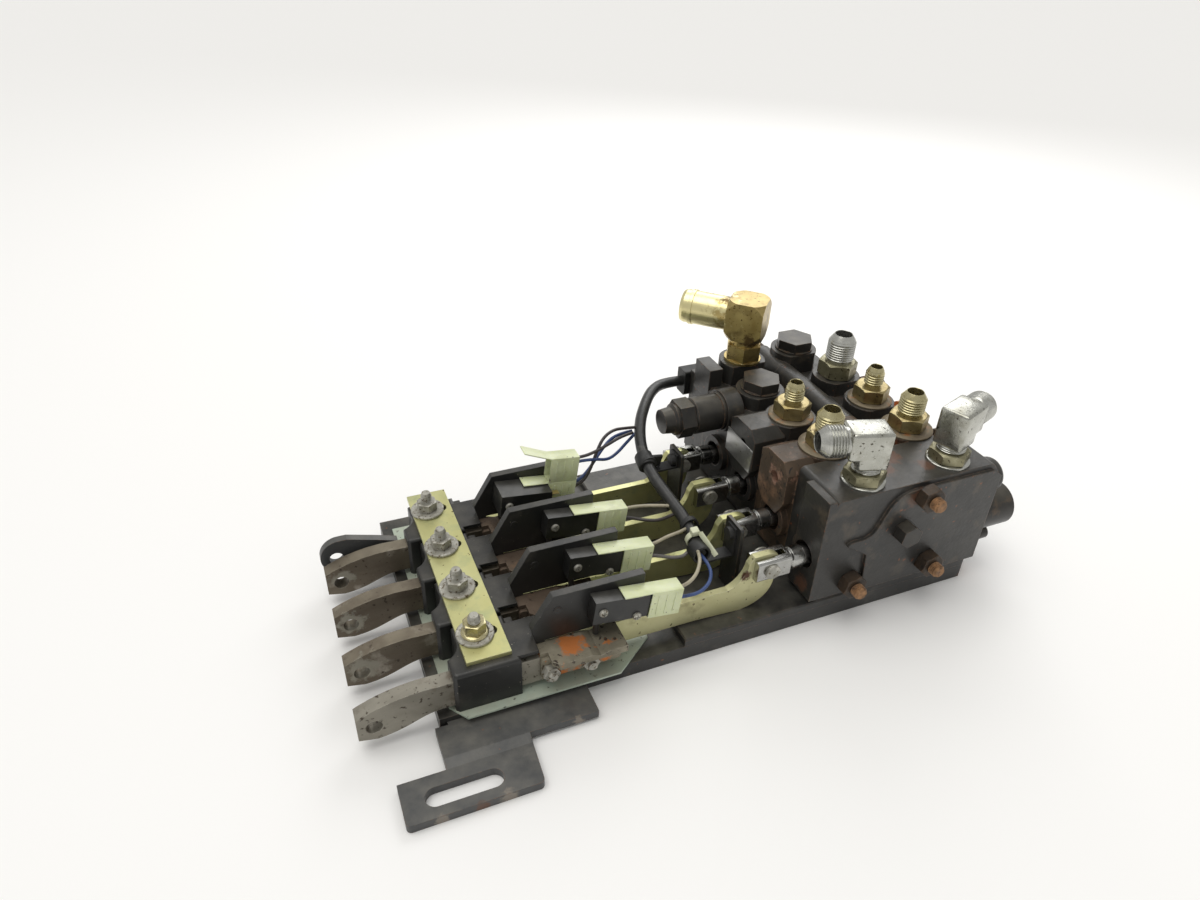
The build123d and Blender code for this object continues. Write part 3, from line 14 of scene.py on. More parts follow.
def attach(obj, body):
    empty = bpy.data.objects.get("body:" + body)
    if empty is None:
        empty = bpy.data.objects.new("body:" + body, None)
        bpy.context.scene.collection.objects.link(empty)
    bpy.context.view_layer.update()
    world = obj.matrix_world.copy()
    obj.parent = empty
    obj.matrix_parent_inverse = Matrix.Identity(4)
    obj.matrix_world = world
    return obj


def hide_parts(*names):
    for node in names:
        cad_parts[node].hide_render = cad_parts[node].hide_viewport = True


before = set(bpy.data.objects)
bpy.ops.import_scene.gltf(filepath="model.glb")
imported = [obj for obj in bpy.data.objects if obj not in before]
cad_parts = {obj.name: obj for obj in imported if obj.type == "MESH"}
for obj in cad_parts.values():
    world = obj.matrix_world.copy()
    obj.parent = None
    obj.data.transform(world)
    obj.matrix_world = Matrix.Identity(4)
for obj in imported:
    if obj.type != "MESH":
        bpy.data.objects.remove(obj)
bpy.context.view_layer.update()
MM = 0.001
STUD_X = 29.5  # the clamp studs' line from the base's end wall, in millimetres
SPOOL_Y = {"1": -66.0, "2": -22.0, "3": 22.0, "4": 66.0}


def at(x, y, z):
    """A place given in millimetres from the stud line, as a vector in metres."""
    return Vector(((x + STUD_X) * MM, y * MM, z * MM))


# %% [markdown]
# ## Camera
# The photograph was taken close to the object with a wide lens, so the far end shrinks quickly. A camera
# can be moved by eye until the picture agrees, but a longer lens further away then passes for a shorter
# one nearby. So place, turn and lens were fitted together to the straight edges of the base, the strip
# and the blocks.

# %% Camera
LENS = 25.3  # millimetres
SENSOR = 36.0  # millimetres across
CAMERA_PLACE = (-0.04904, -0.42114, 0.43529)
CAMERA_TURN = (56.086, -1.641, -22.243)  # degrees about X, Y and Z
scene = bpy.context.scene
camera_data = bpy.data.cameras.new("camera")
camera_data.lens = LENS
camera_data.sensor_width = SENSOR
camera_data.clip_start = 0.01
camera = bpy.data.objects.new("camera", camera_data)
camera.location = CAMERA_PLACE
camera.rotation_euler = tuple(radians(value) for value in CAMERA_TURN)
scene.collection.objects.link(camera)
scene.camera = camera
print("camera", tuple(round(v, 3) for v in camera.location))

# %% [markdown]
# ## Light and floor
# The object stands in a white room under an even ceiling light. An area lamp could stand for the ceiling,
# but its light would fade towards the floor's edges. A sun lamp has the same strength everywhere, and a
# wide angle keeps its shadows soft. A pale world fills them, and one large lamp behind the valve draws a
# shine on its top.

# %% World, lamps and floor
WORLD_LIGHT = 0.58  # how strongly the room's walls light the object
WORLD_SEEN = 0.92  # how bright those walls look to the camera
WORLD_WHITE = (1.0, 0.995, 0.98, 1)
SUN_AT = (-0.25, 0.1, 1.5)
SUN_AIM = (0.1, 0, 0)
SUN_POWER = 1.3
SUN_WIDE = radians(50)
SUN_WHITE = (1.0, 0.985, 0.95)
BACK_AT = (0.9, 0.9, 0.9)
BACK_AIM = (0.25, 0, 0.08)
BACK_POWER = 6.0
BACK_SIZE = 0.9
FLOOR_WHITE = (0.9, 0.895, 0.885, 1)
FLOOR_SIZE = 60  # metres, so that its edge is never in the picture
FLOOR_AT = (0.2, 0.6, -0.0002)  # a hair below the base's rim
scene.view_settings.view_transform = "Standard"
world = bpy.data.worlds.new("studio")
world.use_nodes = True
scene.world = world
tree = world.node_tree
background = tree.nodes["Background"]
paths = tree.nodes.new("ShaderNodeLightPath")
strength = tree.nodes.new("ShaderNodeMapRange")
strength.inputs["To Min"].default_value = WORLD_LIGHT
strength.inputs["To Max"].default_value = WORLD_SEEN
tree.links.new(paths.outputs["Is Camera Ray"], strength.inputs["Value"])
tree.links.new(strength.outputs[0], background.inputs["Strength"])
background.inputs["Color"].default_value = WORLD_WHITE


def aimed(name, kind, place, aim):
    """A lamp of one kind at place, pointing at aim."""
    data = bpy.data.lights.new(name, kind)
    piece = bpy.data.objects.new(name, data)
    piece.location = place
    piece.rotation_euler = (Vector(place) - Vector(aim)).to_track_quat("Z", "Y").to_euler()
    scene.collection.objects.link(piece)
    return data


sun = aimed("ceiling", "SUN", SUN_AT, SUN_AIM)
sun.energy = SUN_POWER
sun.angle = SUN_WIDE
sun.color = SUN_WHITE
back = aimed("back", "AREA", BACK_AT, BACK_AIM)
back.size = BACK_SIZE
back.energy = BACK_POWER

floor_material = bpy.data.materials.new("floor_white")
floor_material.use_nodes = True
floor_shader = floor_material.node_tree.nodes["Principled BSDF"]
floor_shader.inputs["Base Color"].default_value = FLOOR_WHITE
floor_shader.inputs["Roughness"].default_value = 0.65
bpy.ops.object.select_all(action="DESELECT")
bpy.ops.mesh.primitive_plane_add(size=FLOOR_SIZE, location=FLOOR_AT)
floor = bpy.context.object
floor.name = "floor"
floor.data.materials.append(floor_material)
print("floor and lamps ready")

# %% [markdown]
# ## Finishes
# Most surfaces here are one coat over metal or one moulded colour, changed by dirt, rust and wear. They
# could be painted as pictures, but each piece would have to be unwrapped first, and the pictures would
# blur close up. One helper lays the layers down with noise instead: a base colour that drifts to a second
# shade, blotches of a third, specks of a fourth, dust on what looks up, stains at chosen places, and
# edges rubbed to another colour. The noise is in Object coordinates, so nothing slides when a lever
# moves, and the Bevel node finds and softens the edges.

# %% Nodes, noise and mixing
def node(tree, kind, inputs, operation=None):
    """Adds a shader node and feeds its inputs, by name or number: sockets are linked, values are set."""
    made = tree.nodes.new("ShaderNode" + kind)
    if operation:
        made.operation = operation
    for name, value in inputs.items():
        if isinstance(value, bpy.types.NodeSocket):
            tree.links.new(value, made.inputs[name])
        else:
            made.inputs[name].default_value = value
    return made


def add_noise(tree, coordinates, scale, detail=4.0, roughness=0.55, stretch=(1, 1, 1)):
    """A noise in Object coordinates; stretch draws it out along an axis. Gives its Fac socket."""
    mapped = node(tree, "Mapping", {"Vector": coordinates, "Scale": stretch}).outputs[0]
    grain = {"Vector": mapped, "Scale": scale, "Detail": detail, "Roughness": roughness}
    return node(tree, "TexNoise", grain).outputs["Fac"]


def threshold(tree, value, low, high):
    """Takes a socket from 0 at low to 1 at high."""
    return node(tree, "MapRange", {"Value": value, "From Min": low, "From Max": high}).outputs[0]


def product(tree, first, second):
    """Multiplies two sockets."""
    return node(tree, "Math", {0: first, 1: second}, "MULTIPLY").outputs[0]


def blend(tree, amount, first, second):
    """Mixes two colours, each a socket or three numbers, by a socket."""
    mix = tree.nodes.new("ShaderNodeMix")
    mix.data_type = "RGBA"
    tree.links.new(amount, mix.inputs["Factor"])
    for colour, socket in ((first, mix.inputs[6]), (second, mix.inputs[7])):
        if isinstance(colour, tuple):
            socket.default_value = (*colour, 1)
        else:
            tree.links.new(colour, socket)
    return mix.outputs[2]


print("noise helpers ready")

# %% Dust, stains and rubbed edges
DUST_SLOPE = (0.5, 1.0)  # upward part of the normal at which dust starts to lie, and lies fully
DUST_SCALE = 70
DUST_PATCHES = (0.3, 0.75)
STAIN_SCALE = 140
STAIN_RAGGED = 2.2  # how far noise moves a stain's edge, in radii
STAIN_EDGE = (2.0, 1.7)  # distance and noise together, in radii, at a stain's rim and inside it
WORN_TURN = (0.02, 0.12)  # how far the rounded normal leaves the flat one, where wear starts and is full
WORN_SCALE = 260
WORN_PATCHES = (0.42, 0.6)


def settled_dust(tree, coordinates):
    """1 where a face looks up and dust lies on it, in patches, and 0 elsewhere."""
    normal = node(tree, "NewGeometry", {}).outputs["Normal"]
    upward = threshold(tree, node(tree, "SeparateXYZ", {0: normal}).outputs["Z"], *DUST_SLOPE)
    patches = threshold(tree, add_noise(tree, coordinates, DUST_SCALE, detail=8), *DUST_PATCHES)
    return product(tree, upward, patches)


def stain_round(tree, coordinates, place, radius):
    """1 inside a stain with a ragged edge round a place in metres, and 0 outside it."""
    away = node(tree, "VectorMath", {0: coordinates, 1: place}, "DISTANCE").outputs["Value"]
    grain = add_noise(tree, coordinates, STAIN_SCALE, detail=8, roughness=0.7)
    ragged = node(tree, "Math", {0: grain, 1: STAIN_RAGGED * radius, 2: away}, "MULTIPLY_ADD")
    return threshold(tree, ragged.outputs[0], STAIN_EDGE[0] * radius, STAIN_EDGE[1] * radius)


def rubbed_edges(tree, coordinates, rounded):
    """1 in broken stretches where the Bevel node's normal leaves the face's own, and 0 elsewhere."""
    flat = node(tree, "NewGeometry", {}).outputs["Normal"]
    same = node(tree, "VectorMath", {0: rounded, 1: flat}, "DOT_PRODUCT").outputs["Value"]
    edges = threshold(tree, same, 1 - WORN_TURN[0], 1 - WORN_TURN[1])
    stretches = threshold(tree, add_noise(tree, coordinates, WORN_SCALE, detail=5), *WORN_PATCHES)
    return product(tree, edges, stretches)


print("wear helpers ready")

# %% The surface helper
DRIFT = (0.3, 0.7)  # the stretch of the noise over which the base colour turns to its shade
RELIEF_DEPTH = 0.0004  # metres


def surface(
    name, base, shade, rough=(0.35, 0.6), metal=0.0, scale=60.0,
    blotch=None, blotch_at=(0.6, 0.7), blotch_scale=45.0,
    speck=None, speck_at=(0.68, 0.72), speck_scale=420.0,
    worn=None, edge=0.0006, bump=0.15, bump_scale=900.0,
    stretch=(1, 1, 1), dust=None, spots=(),
):
    """A procedural finish. Colours are linear; rough is the range of roughness over the shade noise.

    Spots are (place, radius, colour): a stain round a place in metres, with a ragged edge.
    """
    material = bpy.data.materials.new(name)
    material.use_nodes = True
    tree = material.node_tree
    shader = tree.nodes["Principled BSDF"]
    shader.inputs["Metallic"].default_value = metal
    coordinates = node(tree, "TexCoord", {}).outputs["Object"]
    drift = threshold(tree, add_noise(tree, coordinates, scale, stretch=stretch), *DRIFT)
    colour = blend(tree, drift, base, shade)
    if blotch:
        patches = add_noise(tree, coordinates, blotch_scale, detail=8, roughness=0.62)
        colour = blend(tree, threshold(tree, patches, *blotch_at), colour, blotch)
    if speck:
        dots = add_noise(tree, coordinates, speck_scale, detail=2)
        colour = blend(tree, threshold(tree, dots, *speck_at), colour, speck)
    if dust:
        colour = blend(tree, settled_dust(tree, coordinates), colour, dust)
    for place, radius, stain in spots:
        colour = blend(tree, stain_round(tree, coordinates, place, radius), colour, stain)
    rounded = node(tree, "Bevel", {"Radius": edge})
    rounded.samples = 4
    if worn:
        colour = blend(tree, rubbed_edges(tree, coordinates, rounded.outputs[0]), colour, worn)
    tree.links.new(colour, shader.inputs["Base Color"])
    gloss = add_noise(tree, coordinates, scale * 3, detail=6)
    sheen = node(tree, "MapRange", {"Value": gloss, "To Min": rough[0], "To Max": rough[1]})
    tree.links.new(sheen.outputs[0], shader.inputs["Roughness"])
    height = add_noise(tree, coordinates, bump_scale, detail=5)
    bumps = {"Strength": bump, "Distance": RELIEF_DEPTH, "Height": height, "Normal": rounded.outputs[0]}
    tree.links.new(node(tree, "Bump", bumps).outputs[0], shader.inputs["Normal"])
    return material


print("surface helper ready")

# %% [markdown]
# ## Painted plates and castings
# The base and the castings are painted black and still glossy, and rust shows at their edges and in
# patches. Some patches lie at one place only, such as the orange rust at the right end of the third and
# fourth sections. Noise can't be told where to put them, so they are stains at chosen places.

# %% Colours that several finishes share
RUST = (0.2, 0.07, 0.028)
ORANGE = (0.5, 0.17, 0.045)
DARK_RUST = (0.1, 0.05, 0.03)
EDGE_GREY = (0.19, 0.165, 0.135)
PINK_RESIDUE = (0.3, 0.17, 0.12)
PALE_DUST = (0.25, 0.235, 0.19)
print("shared colours ready")

# %% Painted plates and castings
black_paint = surface(
    "black_paint", (0.014, 0.014, 0.013), (0.028, 0.027, 0.025), rough=(0.25, 0.5), scale=35,
    blotch=(0.06, 0.055, 0.046), blotch_at=(0.6, 0.75), speck=RUST, speck_at=(0.7, 0.75), speck_scale=260,
    worn=(0.17, 0.1, 0.06), bump=0.3, bump_scale=500, dust=(0.1, 0.095, 0.08),
    spots=(  # rust round the base's near right corner
        (at(384, -78, 8), 0.016, RUST),
        (at(376, -66, 12), 0.009, ORANGE),
    ),
)
plate_paint = surface(
    "plate_paint", (0.036, 0.038, 0.04), (0.068, 0.069, 0.068), rough=(0.3, 0.55), scale=30,
    blotch=(0.16, 0.15, 0.13), blotch_at=(0.58, 0.72), speck=RUST, speck_at=(0.72, 0.78), speck_scale=200,
    worn=(0.22, 0.13, 0.08), bump=0.25, bump_scale=400, dust=(0.13, 0.125, 0.11),
    spots=(  # chips and rust on the mounting plate
        (at(-44, -140, 2), 0.005, EDGE_GREY),
        (at(-22, -140, 2), 0.005, DARK_RUST),
        (at(-6, -140, 2), 0.006, EDGE_GREY),
        (at(50, -106, 4), 0.005, EDGE_GREY),
    ),
)
black_iron = surface(
    "black_iron", (0.018, 0.0175, 0.0165), (0.036, 0.034, 0.03), rough=(0.24, 0.52), scale=38,
    blotch=(0.085, 0.068, 0.048), blotch_at=(0.56, 0.74), speck=RUST, speck_at=(0.7, 0.76), speck_scale=230,
    worn=(0.15, 0.095, 0.06), edge=0.0012, bump=0.5, bump_scale=330, dust=(0.062, 0.057, 0.047),
    spots=(  # bright rust at the stack's right end, dark rust on the nearest section
        (at(374, 50, 106), 0.02, ORANGE),
        (at(374, 30, 96), 0.012, ORANGE),
        (at(372, 72, 100), 0.01, RUST),
        (at(290, -62, 107), 0.009, DARK_RUST),
        (at(303, -50, 107), 0.01, DARK_RUST),
        (at(322, -66, 107), 0.008, DARK_RUST),
        (at(232, -70, 30), 0.009, DARK_RUST),
        (at(300, -84, 96), 0.009, DARK_RUST),
    ),
)
brown_iron = surface(
    "brown_iron", (0.05, 0.034, 0.022), (0.1, 0.066, 0.04), rough=(0.36, 0.66), scale=40,
    blotch=(0.2, 0.115, 0.068), blotch_at=(0.58, 0.72), speck=(0.02, 0.016, 0.014), speck_at=(0.6, 0.66),
    speck_scale=200, worn=(0.32, 0.19, 0.12), edge=0.0012, bump=0.6, bump_scale=330,
    spots=(  # a pale pink residue on the left end of this section, rust on its top
        (at(238, -25, 92), 0.014, PINK_RESIDUE),
        (at(242, -12, 95), 0.011, PINK_RESIDUE),
        (at(320, -20, 97), 0.018, RUST),
    ),
)
dark_steel = surface(
    "dark_steel", (0.022, 0.021, 0.02), (0.042, 0.038, 0.032), rough=(0.24, 0.46), metal=0.3, scale=60,
    blotch=(0.13, 0.085, 0.05), blotch_at=(0.58, 0.74), worn=(0.24, 0.14, 0.08), bump=0.2,
    dust=(0.1, 0.09, 0.07),
)
rusty_nut = surface(
    "rusty_nut", (0.026, 0.02, 0.015), (0.06, 0.038, 0.022), rough=(0.4, 0.66), metal=0.25, scale=130,
    blotch=(0.26, 0.1, 0.03), blotch_at=(0.64, 0.74), blotch_scale=110, worn=(0.17, 0.09, 0.045), bump=0.4,
)
rusty_thread = surface(
    "rusty_thread", (0.17, 0.095, 0.045), (0.36, 0.19, 0.085), rough=(0.5, 0.7), metal=0.3, scale=300,
    blotch=(0.1, 0.055, 0.03), blotch_at=(0.55, 0.65), blotch_scale=240, bump=0.3,
)
print("painted and rusty finishes", len(bpy.data.materials))

# %% [markdown]
# ## Levers, cams and links
# The lever bars and cams are plain steel that has rusted brown, the links and the strip are zinc plated
# and yellow, and the forks are bright. The marks on the bars run lengthways. Streaks could be a noise of
# their own, but here the same noise is drawn out along the bar, which costs nothing.

# %% Levers, cams and links
brown_steel = surface(
    "brown_steel", (0.088, 0.068, 0.047), (0.165, 0.138, 0.1), rough=(0.36, 0.6), metal=0.5, scale=45,
    blotch=(0.32, 0.29, 0.24), blotch_at=(0.58, 0.7), speck=(0.04, 0.026, 0.018), speck_at=(0.62, 0.7),
    speck_scale=300, worn=(0.4, 0.36, 0.29), bump=0.35, bump_scale=420, stretch=(0.4, 1, 1),
    dust=(0.24, 0.21, 0.155),
    spots=(  # dust on the drilled tips of the second, third and fourth bar
        (at(-68, -34, 22), 0.012, PALE_DUST),
        (at(-68, 10, 22), 0.011, PALE_DUST),
        (at(-68, 54, 22), 0.009, PALE_DUST),
    ),
)
grey_steel = surface(
    "grey_steel", (0.2, 0.185, 0.15), (0.32, 0.3, 0.25), rough=(0.36, 0.58), metal=0.55, scale=50,
    blotch=(0.12, 0.085, 0.06), blotch_at=(0.56, 0.7), speck=(0.07, 0.055, 0.04), speck_at=(0.62, 0.7),
    speck_scale=300, worn=(0.5, 0.47, 0.4), bump=0.35, bump_scale=420, stretch=(0.5, 1, 1),
)
cam_rust = surface(
    "cam_rust", (0.16, 0.142, 0.1), (0.29, 0.262, 0.195), rough=(0.42, 0.75), metal=0.4, scale=60,
    blotch=ORANGE, blotch_at=(0.58, 0.62), blotch_scale=55, speck=(0.05, 0.038, 0.028), speck_at=(0.62, 0.7),
    speck_scale=260, worn=(0.42, 0.39, 0.32), bump=0.45, bump_scale=350,
    spots=(  # rust on the first cam's face
        (at(55, -78, 41), 0.011, ORANGE),
        (at(58, -80, 30), 0.008, ORANGE),
        (at(78, -79, 30), 0.01, ORANGE),
    ),
)
brown_cam = surface(
    "brown_cam", (0.08, 0.055, 0.038), (0.15, 0.11, 0.078), rough=(0.45, 0.72), metal=0.3, scale=50,
    blotch=(0.24, 0.15, 0.09), blotch_at=(0.6, 0.72), speck=(0.03, 0.022, 0.016), speck_at=(0.6, 0.68),
    speck_scale=260, worn=(0.3, 0.24, 0.17), bump=0.4, bump_scale=350,
)
yellow_zinc = surface(
    "yellow_zinc", (0.56, 0.54, 0.24), (0.68, 0.67, 0.35), rough=(0.24, 0.44), metal=0.75, scale=28,
    blotch=(0.42, 0.46, 0.25), blotch_at=(0.52, 0.72), speck=(0.12, 0.085, 0.035), speck_at=(0.7, 0.75),
    speck_scale=280, worn=(0.7, 0.68, 0.46), bump=0.1, stretch=(1, 0.4, 1),
)
pale_zinc = surface(
    "pale_zinc", (0.48, 0.46, 0.24), (0.6, 0.58, 0.34), rough=(0.32, 0.58), metal=0.6, scale=30,
    blotch=(0.3, 0.27, 0.15), blotch_at=(0.56, 0.72), speck=(0.08, 0.055, 0.03), speck_at=(0.68, 0.74),
    speck_scale=260, worn=(0.6, 0.58, 0.45), bump=0.12,
    spots=((at(184, -71, 50), 0.006, DARK_RUST),),  # rust on the first link
)
grey_zinc = surface(
    "grey_zinc", (0.27, 0.26, 0.22), (0.47, 0.46, 0.41), rough=(0.36, 0.66), metal=0.6, scale=150,
    blotch=(0.62, 0.61, 0.55), blotch_at=(0.56, 0.68), blotch_scale=240, speck=(0.12, 0.09, 0.055),
    speck_at=(0.58, 0.66), speck_scale=500, bump=0.5, bump_scale=700,
)
chrome = surface(
    "chrome", (0.34, 0.34, 0.32), (0.5, 0.5, 0.48), rough=(0.12, 0.3), metal=1.0, scale=80,
    blotch=(0.2, 0.18, 0.15), blotch_at=(0.58, 0.72), speck=(0.12, 0.09, 0.06), speck_at=(0.66, 0.7),
    bump=0.1,
)
ground_steel = surface(
    "ground_steel", (0.22, 0.21, 0.2), (0.36, 0.35, 0.33), rough=(0.2, 0.38), metal=1.0, scale=90,
    blotch=(0.1, 0.07, 0.05), blotch_at=(0.58, 0.74), bump=0.05, stretch=(0.1, 1, 1),
)
print("lever finishes", len(bpy.data.materials))

# %% [markdown]
# ## Mouldings, switches and the slide plate
# The guide blocks and switches are black moulded plastic, glossy under their dust, and the slide plate is
# a pale green sheet. The terminal covers are soft and pale, and let some light in. A clear material would
# show what is below them sharply, which the real ones don't, so they take a share of subsurface light.

# %% Mouldings, switches and the slide plate
pale_sheet = surface(
    "pale_sheet", (0.36, 0.44, 0.36), (0.46, 0.52, 0.43), rough=(0.3, 0.55), scale=25,
    blotch=(0.24, 0.29, 0.23), blotch_at=(0.56, 0.76), speck=(0.04, 0.04, 0.034), speck_at=(0.66, 0.7),
    speck_scale=330, bump=0.08, dust=(0.4, 0.42, 0.33),
)
black_moulding = surface(
    "black_moulding", (0.0085, 0.009, 0.009), (0.017, 0.017, 0.016), rough=(0.26, 0.48), scale=50,
    blotch=(0.042, 0.039, 0.033), blotch_at=(0.58, 0.74), speck=(0.34, 0.31, 0.25), speck_at=(0.72, 0.76),
    speck_scale=500, worn=(0.08, 0.078, 0.07), edge=0.0008, bump=0.15, dust=(0.06, 0.056, 0.047),
)
switch_black = surface(
    "switch_black", (0.009, 0.0095, 0.0095), (0.02, 0.02, 0.019), rough=(0.26, 0.46), scale=90,
    blotch=(0.05, 0.046, 0.04), blotch_at=(0.6, 0.76), speck=(0.26, 0.24, 0.2), speck_at=(0.74, 0.78),
    speck_scale=600, edge=0.0004, worn=(0.07, 0.07, 0.065), bump=0.1, dust=(0.07, 0.068, 0.06),
)
seal_black = surface("seal_black", (0.01, 0.01, 0.01), (0.018, 0.018, 0.017), rough=(0.4, 0.65), bump=0.08,
                     blotch=(0.04, 0.037, 0.032), blotch_at=(0.6, 0.75))
ring_orange = surface(
    "ring_orange", (0.45, 0.13, 0.03), (0.56, 0.19, 0.05), rough=(0.4, 0.6), scale=200,
    blotch=(0.08, 0.035, 0.02), blotch_at=(0.56, 0.66), blotch_scale=150, bump=0.05,
)
cover_plastic = surface(
    "cover_plastic", (0.6, 0.65, 0.38), (0.7, 0.74, 0.5), rough=(0.25, 0.42), scale=60,
    blotch=(0.46, 0.49, 0.26), blotch_at=(0.56, 0.76), worn=(0.78, 0.82, 0.6), edge=0.0004, bump=0.08,
    speck=(0.2, 0.19, 0.12), speck_at=(0.7, 0.75), speck_scale=300,
)
cover_shader = cover_plastic.node_tree.nodes["Principled BSDF"]
cover_shader.inputs["Subsurface Weight"].default_value = 0.4
cover_shader.inputs["Subsurface Radius"].default_value = (0.004, 0.004, 0.002)
tie_white = surface("tie_white", (0.56, 0.58, 0.4), (0.66, 0.67, 0.5), rough=(0.35, 0.5), scale=90, bump=0.05,
                    blotch=(0.4, 0.4, 0.28), blotch_at=(0.6, 0.75))
print("moulded finishes", len(bpy.data.materials))

# %% [markdown]
# ## Fittings and terminals
# The fittings are turned steel with gold or silver zinc, and the hose elbow is brass. A thread looks
# brighter than its hexagon, so it has a finish of its own. The Bevel node's radius is tiny there, because
# a wide one would round the ridges away.

# %% Fittings and terminals
gold_zinc = surface(
    "gold_zinc", (0.3, 0.235, 0.1), (0.44, 0.37, 0.19), rough=(0.22, 0.42), metal=0.85, scale=110,
    blotch=(0.14, 0.09, 0.042), blotch_at=(0.56, 0.72), blotch_scale=150, speck=(0.07, 0.05, 0.03),
    speck_at=(0.66, 0.72), speck_scale=420, worn=(0.6, 0.55, 0.36), edge=0.0004, bump=0.12,
)
gold_thread = surface(
    "gold_thread", (0.42, 0.37, 0.2), (0.56, 0.51, 0.31), rough=(0.18, 0.34), metal=0.92, scale=160,
    blotch=(0.26, 0.2, 0.1), blotch_at=(0.6, 0.76), blotch_scale=120, edge=0.00005, bump=0.04,
)
silver_zinc = surface(
    "silver_zinc", (0.36, 0.36, 0.32), (0.54, 0.54, 0.49), rough=(0.14, 0.36), metal=0.9, scale=60,
    blotch=(0.27, 0.26, 0.21), blotch_at=(0.5, 0.74), blotch_scale=70, speck=(0.07, 0.06, 0.045),
    speck_at=(0.64, 0.69), speck_scale=380, worn=(0.7, 0.7, 0.66), edge=0.0004, bump=0.25, bump_scale=600,
)
silver_thread = surface(
    "silver_thread", (0.4, 0.4, 0.37), (0.56, 0.56, 0.52), rough=(0.16, 0.32), metal=0.92, scale=160,
    blotch=(0.24, 0.23, 0.18), blotch_at=(0.6, 0.76), blotch_scale=120, edge=0.00005, bump=0.04,
)
olive_zinc = surface(
    "olive_zinc", (0.2, 0.185, 0.11), (0.32, 0.3, 0.19), rough=(0.26, 0.48), metal=0.7, scale=110,
    blotch=(0.42, 0.4, 0.28), blotch_at=(0.56, 0.68), blotch_scale=150, speck=(0.07, 0.055, 0.03),
    speck_at=(0.62, 0.68), worn=(0.5, 0.48, 0.34), edge=0.0004, bump=0.2,
)
brass = surface(
    "brass", (0.34, 0.25, 0.09), (0.52, 0.41, 0.17), rough=(0.22, 0.42), metal=0.95, scale=70,
    blotch=(0.17, 0.115, 0.045), blotch_at=(0.54, 0.7), speck=(0.12, 0.08, 0.035), speck_at=(0.64, 0.7),
    worn=(0.68, 0.57, 0.3), edge=0.0004, bump=0.15, bump_scale=500,
    spots=(  # dirt near the swivel nut, and a paler tail
        (at(282, 106, 150), 0.012, (0.15, 0.1, 0.04)),
        (at(272, 96, 136), 0.01, (0.13, 0.085, 0.035)),
        (at(236, 144, 150), 0.05, (0.78, 0.7, 0.38)),
    ),
)
washer_rust = surface(
    "washer_rust", (0.13, 0.1, 0.065), (0.25, 0.21, 0.14), rough=(0.42, 0.7), metal=0.4, scale=90,
    blotch=(0.3, 0.13, 0.05), blotch_at=(0.56, 0.68), blotch_scale=90, worn=(0.42, 0.36, 0.24), bump=0.3,
)
bare_plate = surface(
    "bare_plate", (0.36, 0.36, 0.35), (0.46, 0.46, 0.45), rough=(0.25, 0.42), metal=0.85, scale=60,
    blotch=(0.17, 0.155, 0.13), blotch_at=(0.56, 0.72), speck=(0.1, 0.085, 0.06), speck_at=(0.66, 0.72),
    bump=0.1,
)
terminal_brass = surface("terminal_brass", (0.5, 0.38, 0.16), (0.62, 0.5, 0.25), rough=(0.25, 0.4), metal=0.9,
                         blotch=(0.2, 0.14, 0.06), blotch_at=(0.58, 0.72))
print("fitting finishes", len(bpy.data.materials))

# %% [markdown]
# ## Tape and wire
# The harness is wound in black tape, whose relief is coarser than a moulding's. Each wire has one colour
# of insulation under its grime. Four finishes could be written out, but they differ in two shades alone,
# so one function makes them all.

# %% Tape and wire
tape_black = surface(
    "tape_black", (0.014, 0.014, 0.014), (0.03, 0.03, 0.028), rough=(0.25, 0.5), scale=160,
    blotch=(0.1, 0.092, 0.078), blotch_at=(0.6, 0.74), bump=0.6, bump_scale=260,
)


def insulation(name, pale, dark):
    """The finish of a thin wire: one moulded colour with grime."""
    return surface(name, dark, pale, rough=(0.3, 0.5), scale=120, bump=0.08, edge=0.0002,
                   blotch=tuple(0.45 * value for value in dark), blotch_at=(0.56, 0.72), blotch_scale=160)


wire_beige = insulation("wire_beige", (0.4, 0.36, 0.26), (0.3, 0.27, 0.19))
wire_grey = insulation("wire_grey", (0.15, 0.14, 0.13), (0.1, 0.095, 0.088))
wire_blue = insulation("wire_blue", (0.05, 0.09, 0.24), (0.035, 0.062, 0.17))
wire_dark = insulation("wire_dark", (0.06, 0.05, 0.048), (0.035, 0.03, 0.03))
print("materials", len(bpy.data.materials))

# %% [markdown]
# ## Dressing the CAD nodes
# A CAD node keeps its mesh and only needs a material. Most pieces come once for each station and end in
# its number, so one table without numbers dresses all four stations alike. A second, short one holds the
# pieces that look different: the first station's bar, cam and link, and the brown second section.

# %% Dress the CAD nodes
DRESS = {
    "base_channel": black_paint,
    "valve_plate": black_paint,
    "slide_plate": pale_sheet,
    "mounting_plate": plate_paint,
    "lug_plate": plate_paint,
    "guide_block": black_moulding,
    "lever_arm": brown_steel,
    "cam": brown_cam,
    "link": yellow_zinc,
    "fork": chrome,
    "link_fasteners": grey_zinc,
    "spool": ground_steel,
    "plunger": switch_black,
    "clamp_strip": yellow_zinc,
    "clamp_bolts": grey_zinc,
    "clamp_nuts": grey_zinc,
    "switches": switch_black,
    "switch_screws": grey_zinc,
    "terminal_covers": cover_plastic,
    "section": black_iron,
    "inlet_section": black_iron,
    "spool_caps": dark_steel,
    "tie_rods": rusty_nut,
    "port_fittings": gold_zinc,
    "elbow_fittings": silver_zinc,
    "hose_elbow": brass,
    "port_plugs": dark_steel,
    "relief_cartridge": dark_steel,
    "spool_seals": seal_black,
    "upright_brackets": black_paint,
    "harness": tape_black,
    "harness_fittings": seal_black,
    "switch_wires": wire_grey,
}
SPECIAL = {"lever_arm_1": grey_steel, "cam_1": cam_rust, "section_2": brown_iron, "link_1": pale_zinc}


